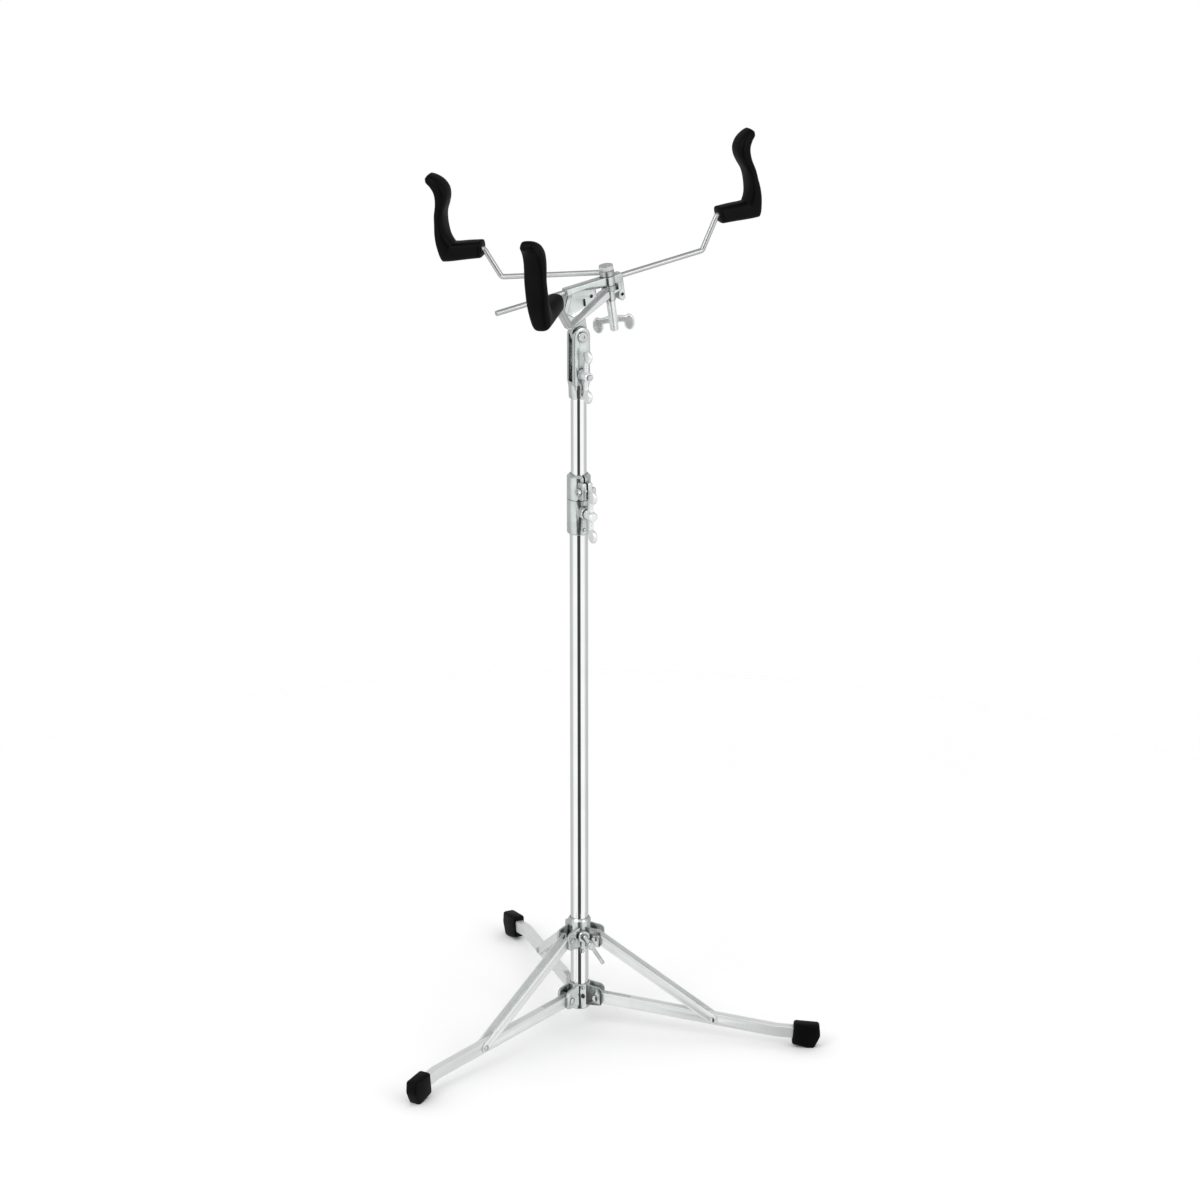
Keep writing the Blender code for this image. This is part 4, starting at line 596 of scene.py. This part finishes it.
def make_arm(side, height, start):
    arm = stacked(side + "_arm_rod", bent_rings(arm_corners(side, height, start), ROD_RADIUS, BEND_RADIUS), 32)
    if start > 0:
        arm = fused(arm, make_eye(height))
    put_at(arm, basket_frame @ Matrix.Rotation(ARM_TURN[side], 4, 'Z'))
    return finished(arm, side + "_arm", finish=rod_steel)


for side, height, start in (
    ("sliding", SLIDE_ROD_HEIGHT, -ROD_TAIL),
    ("left", TOP_EYE_HEIGHT, ROD_ROOT),
    ("front", LOW_EYE_HEIGHT, ROD_ROOT),
):
    arm = make_arm(side, height, start)
    print(arm.name, len(arm.data.polygons), "faces")

# %% [markdown]
# ## Grips
# A grip is a thick rubber boot over the arm's end. It leaves the arm level, turns up at a square heel, and its flat
# upper half swings in and out again so that a drum's hoop drops into the hollow. Each row of the list pairs a point
# of the outer side with one of the inner side, in millimetres from the mouth. A smooth curve through the rows gives
# all the rings in between, and two small rings round off each end.

# %% Mould the grips
GRIP_ROWS = [
    ((3.2, -10.8), (1.2, 10.6), 10.5),
    ((19, -12.4), (20, 9.6), 11),
    ((48.5, -15.7), (36, 8.3), 11.5),
    ((56, -13.2), (39, 10), 12),
    ((59.5, 4), (42.5, 16), 12.7),
    ((59.5, 19), (44.2, 23), 13.2),
    ((57.6, 32), (44.8, 34), 13.3),
    ((56, 44), (43.3, 45), 13.3),
    ((53, 56), (38.4, 56.5), 13.3),
    ((52.1, 65), (35.3, 66), 13.2),
    ((53, 73), (35.5, 76), 13),
    ((57, 80), (41, 85.5), 12),
    ((61.5, 84.5), (50, 92), 10),
    ((62, 90), (57, 94.5), 6.5),
]
ROW_STEPS = 5
CORNER_SHARPNESS = 0.7
MOUTH_ROUNDING = ((0.0, 0.90), (0.6, 0.97))
TIP_ROUNDING = ((-0.3, 0.80), (0.0, 0.5))


def between(before, start, stop, after, share):
    """A value on the smooth curve through four values, a share of the way from the second to the third."""
    point = 2 * start + (stop - before) * share
    point += (2 * before - 5 * start + 4 * stop - after) * share ** 2
    point += (3 * start - before - 3 * stop + after) * share ** 3
    return point / 2


def grip_sections():
    """The rows with the ones between them: outer point, inner point and half width in one vector."""
    rows = [Vector((*outer, *inner)) for outer, inner, width in GRIP_ROWS]
    widths = [width for outer, inner, width in GRIP_ROWS]
    last = len(rows) - 1
    sections = []
    for i in range(last):
        near = (max(i - 1, 0), i, i + 1, min(i + 2, last))
        for step in range(ROW_STEPS):
            share = step / ROW_STEPS
            points = between(*(rows[k] for k in near), share)
            sections.append((points, between(*(widths[k] for k in near), share)))
    sections.append((rows[last], widths[last]))
    return sections


def grip_ring(points, half_width, level, shift=0.0, scale=1.0):
    """One ring of a grip; shift moves it along the grip and scale shrinks it, both for the rounded ends."""
    outer = Vector(points[:2]) * MM
    inner = Vector(points[2:]) * MM
    middle = (outer + inner) / 2
    half = (outer - inner) / 2
    ahead = Vector((-half.y, half.x)).normalized() * shift * MM
    centre = Vector((GRIP_REACH, level)) + middle + ahead
    lean = atan2(half.y, half.x)
    return ring_at(centre.x, centre.y, half.length * scale, half_width * MM * scale, lean)


def square_up(piece):
    """Press the round sections of a new stack into rounded rectangles, before it is shaped."""
    for vert in piece.data.vertices:
        x, y = vert.co.x, vert.co.y
        vert.co.x = abs(x) ** CORNER_SHARPNESS * (1 if x > 0 else -1)
        vert.co.y = abs(y) ** CORNER_SHARPNESS * (1 if y > 0 else -1)


def make_grip(side):
    sections = grip_sections()
    level = GRIP_LEVEL[side]
    mouth = [grip_ring(*sections[0], level, shift, scale) for shift, scale in MOUTH_ROUNDING]
    tip = [grip_ring(*sections[-1], level, shift, scale) for shift, scale in TIP_ROUNDING]
    body = [grip_ring(*section, level) for section in sections[1:-1]]
    grip = stacked(side + "_grip_rubber", mouth + body + tip, 40, square_up)
    put_at(grip, basket_frame @ Matrix.Rotation(ARM_TURN[side], 4, 'Z'))
    return finished(grip, side + "_grip", angle=60)


for side in ARM_TURN:
    grip = make_grip(side)
    print(grip.name, [round(v, 3) for v in grip.dimensions])

# %% [markdown]
# ## Everything else
# The pieces that are left keep the shape of their solids, with their edges rounded.

# %% Round the edges of the other solids
EDGE = {
    "casting": 0.45 * MM,
    "plate": 0.2 * MM,
    "steel": 0.15 * MM,
    "chrome": 0,
    "rubber": 1.1 * MM,
    "brass": 0,
    "dark": 0.1 * MM,
}
for name in sorted(set(body_of_node) - done):
    copy_of(name, EDGE[slot_of_node[name]])
print("copied", len(body_of_node) - len(done), "solids")

# %% [markdown]
# ## The floor
# A sheet of white paper lies under the stand and fades out before its edge, so the picture runs on in plain white.
# It takes the soft shadows of the feet. Polished metal doesn't mirror it, because the painted room below does that.

# %% Lay the paper
PAPER_RADIUS = 1.6
PAPER_SOLID = 0.55


def make_paper():
    """Pale paper whose rim melts into the white round it."""
    made, tree, shader, place = new_finish("white_paper")
    fibre = noise(tree, place, 6, 3)
    tint = blend_colours(tree, fibre, 0.3, 0.8, (0.92, 0.92, 0.92), (0.94, 0.94, 0.94))
    wire(tree, tint, shader.inputs["Base Color"])
    shader.inputs["Roughness"].default_value = 0.9
    shader.inputs["Specular IOR Level"].default_value = 0.1
    centred = node(tree, "ShaderNodeMapping")
    centred.inputs["Location"].default_value = -MAST
    wire(tree, place, centred.inputs["Vector"], "Object")
    away = node(tree, "ShaderNodeVectorMath", operation='LENGTH')
    wire(tree, centred, away.inputs[0])
    rim = ramp(tree, away, PAPER_SOLID, PAPER_RADIUS * 0.95, 1, 0, "Value")
    wire(tree, rim, shader.inputs["Alpha"])
    return made


def make_floor():
    bpy.ops.object.select_all(action='DESELECT')
    bpy.ops.mesh.primitive_circle_add(vertices=96, radius=PAPER_RADIUS, fill_type='NGON', location=MAST)
    floor = bpy.context.object
    floor.name = "paper_floor"
    bpy.ops.object.transform_apply(location=True, rotation=False, scale=False)
    floor.data.materials.append(make_paper())
    floor.visible_glossy = False
    return floor


floor = make_floor()
print(floor.name, "is", 2 * PAPER_RADIUS, "m across")

# %% [markdown]
# ## The painted room
# Chrome has no colour of its own: it shows the room. A studio has tall white screens at both sides, a greyer
# background behind the object and a dark gap where the camera stands, and each tube mirrors that gap as one dark
# line. So the world is white to the camera, soft white as a lamp, and painted like that studio for mirrored rays.

# %% Paint the room
SCREEN_WHITE = 1.04
BACKGROUND_GREY = 0.58
GAP_DARK = 0.05
CEILING_GREY = 0.62


def painted_walls(tree):
    """Grey behind the stand, white at its sides, dark towards the camera."""
    direction = node(tree, "ShaderNodeTexCoord")
    parts = node(tree, "ShaderNodeSeparateXYZ")
    wire(tree, direction, parts.inputs[0], "Generated")
    level = node(tree, "ShaderNodeCombineXYZ")
    wire(tree, parts, level.inputs["X"], "X")
    wire(tree, parts, level.inputs["Y"], "Y")
    flat = node(tree, "ShaderNodeVectorMath", operation='NORMALIZE')
    wire(tree, level, flat.inputs[0])
    facing = node(tree, "ShaderNodeVectorMath", operation='DOT_PRODUCT')
    facing.inputs[1].default_value = turn @ Vector((0, -1, 0))
    wire(tree, flat, facing.inputs[0])
    screens = ramp(tree, facing, -0.1, 0.4, BACKGROUND_GREY, SCREEN_WHITE, "Value")
    gap = ramp(tree, facing, 0.915, 0.955, 0, 1, "Value")
    gap_top = ramp(tree, parts, 0.35, 0.65, 1, 0, "Z")
    gap_shade = ramp(tree, product(tree, gap, gap_top), 0, 1, 1, GAP_DARK)
    ceiling = ramp(tree, parts, 0.5, 0.95, 1, CEILING_GREY, "Z")
    return product(tree, product(tree, screens, gap_shade), ceiling)


def make_world():
    world = bpy.data.worlds.new("studio")
    bpy.context.scene.world = world
    world.use_nodes = True
    tree = world.node_tree
    tree.nodes.clear()
    paths = node(tree, "ShaderNodeLightPath")
    white = node(tree, "ShaderNodeBackground", Color=(1, 1, 1, 1), Strength=1.0)
    soft = node(tree, "ShaderNodeBackground", Color=(1, 1, 1, 1), Strength=1.0)
    room = node(tree, "ShaderNodeBackground", Strength=1.0)
    wire(tree, painted_walls(tree), room.inputs["Color"])
    mirrored = node(tree, "ShaderNodeMixShader")
    wire(tree, paths, mirrored.inputs["Fac"], "Is Glossy Ray")
    wire(tree, soft, mirrored.inputs[1])
    wire(tree, room, mirrored.inputs[2])
    seen = node(tree, "ShaderNodeMixShader")
    wire(tree, paths, seen.inputs["Fac"], "Is Camera Ray")
    wire(tree, mirrored, seen.inputs[1])
    wire(tree, white, seen.inputs[2])
    wire(tree, seen, node(tree, "ShaderNodeOutputWorld").inputs["Surface"])


make_world()
print("world:", bpy.context.scene.world.name)

# %% [markdown]
# ## Lamps
# Two large, weak lamps stand in front, at either side. They only give the feet a soft shadow and the rubber a faint
# sheen, because the room does the rest.


# %% Place the lamps
def add_light(name, place, size, power):
    bpy.ops.object.light_add(type='AREA', location=MAST + turn @ Vector(place))
    light = bpy.context.object
    light.name = name
    light.data.size = size
    light.data.energy = power
    aim = MAST + Vector((0, 0, 0.55)) - light.location
    light.rotation_euler = aim.to_track_quat('-Z', 'Y').to_euler()
    return light


for name, place, size, power in (("key", (-2.2, -2.6, 3.4), 1.6, 26), ("fill", (2.6, -2.2, 2.0), 1.4, 12)):
    light = add_light(name, place, size, power)
    print(light.name, light.data.energy, "W")
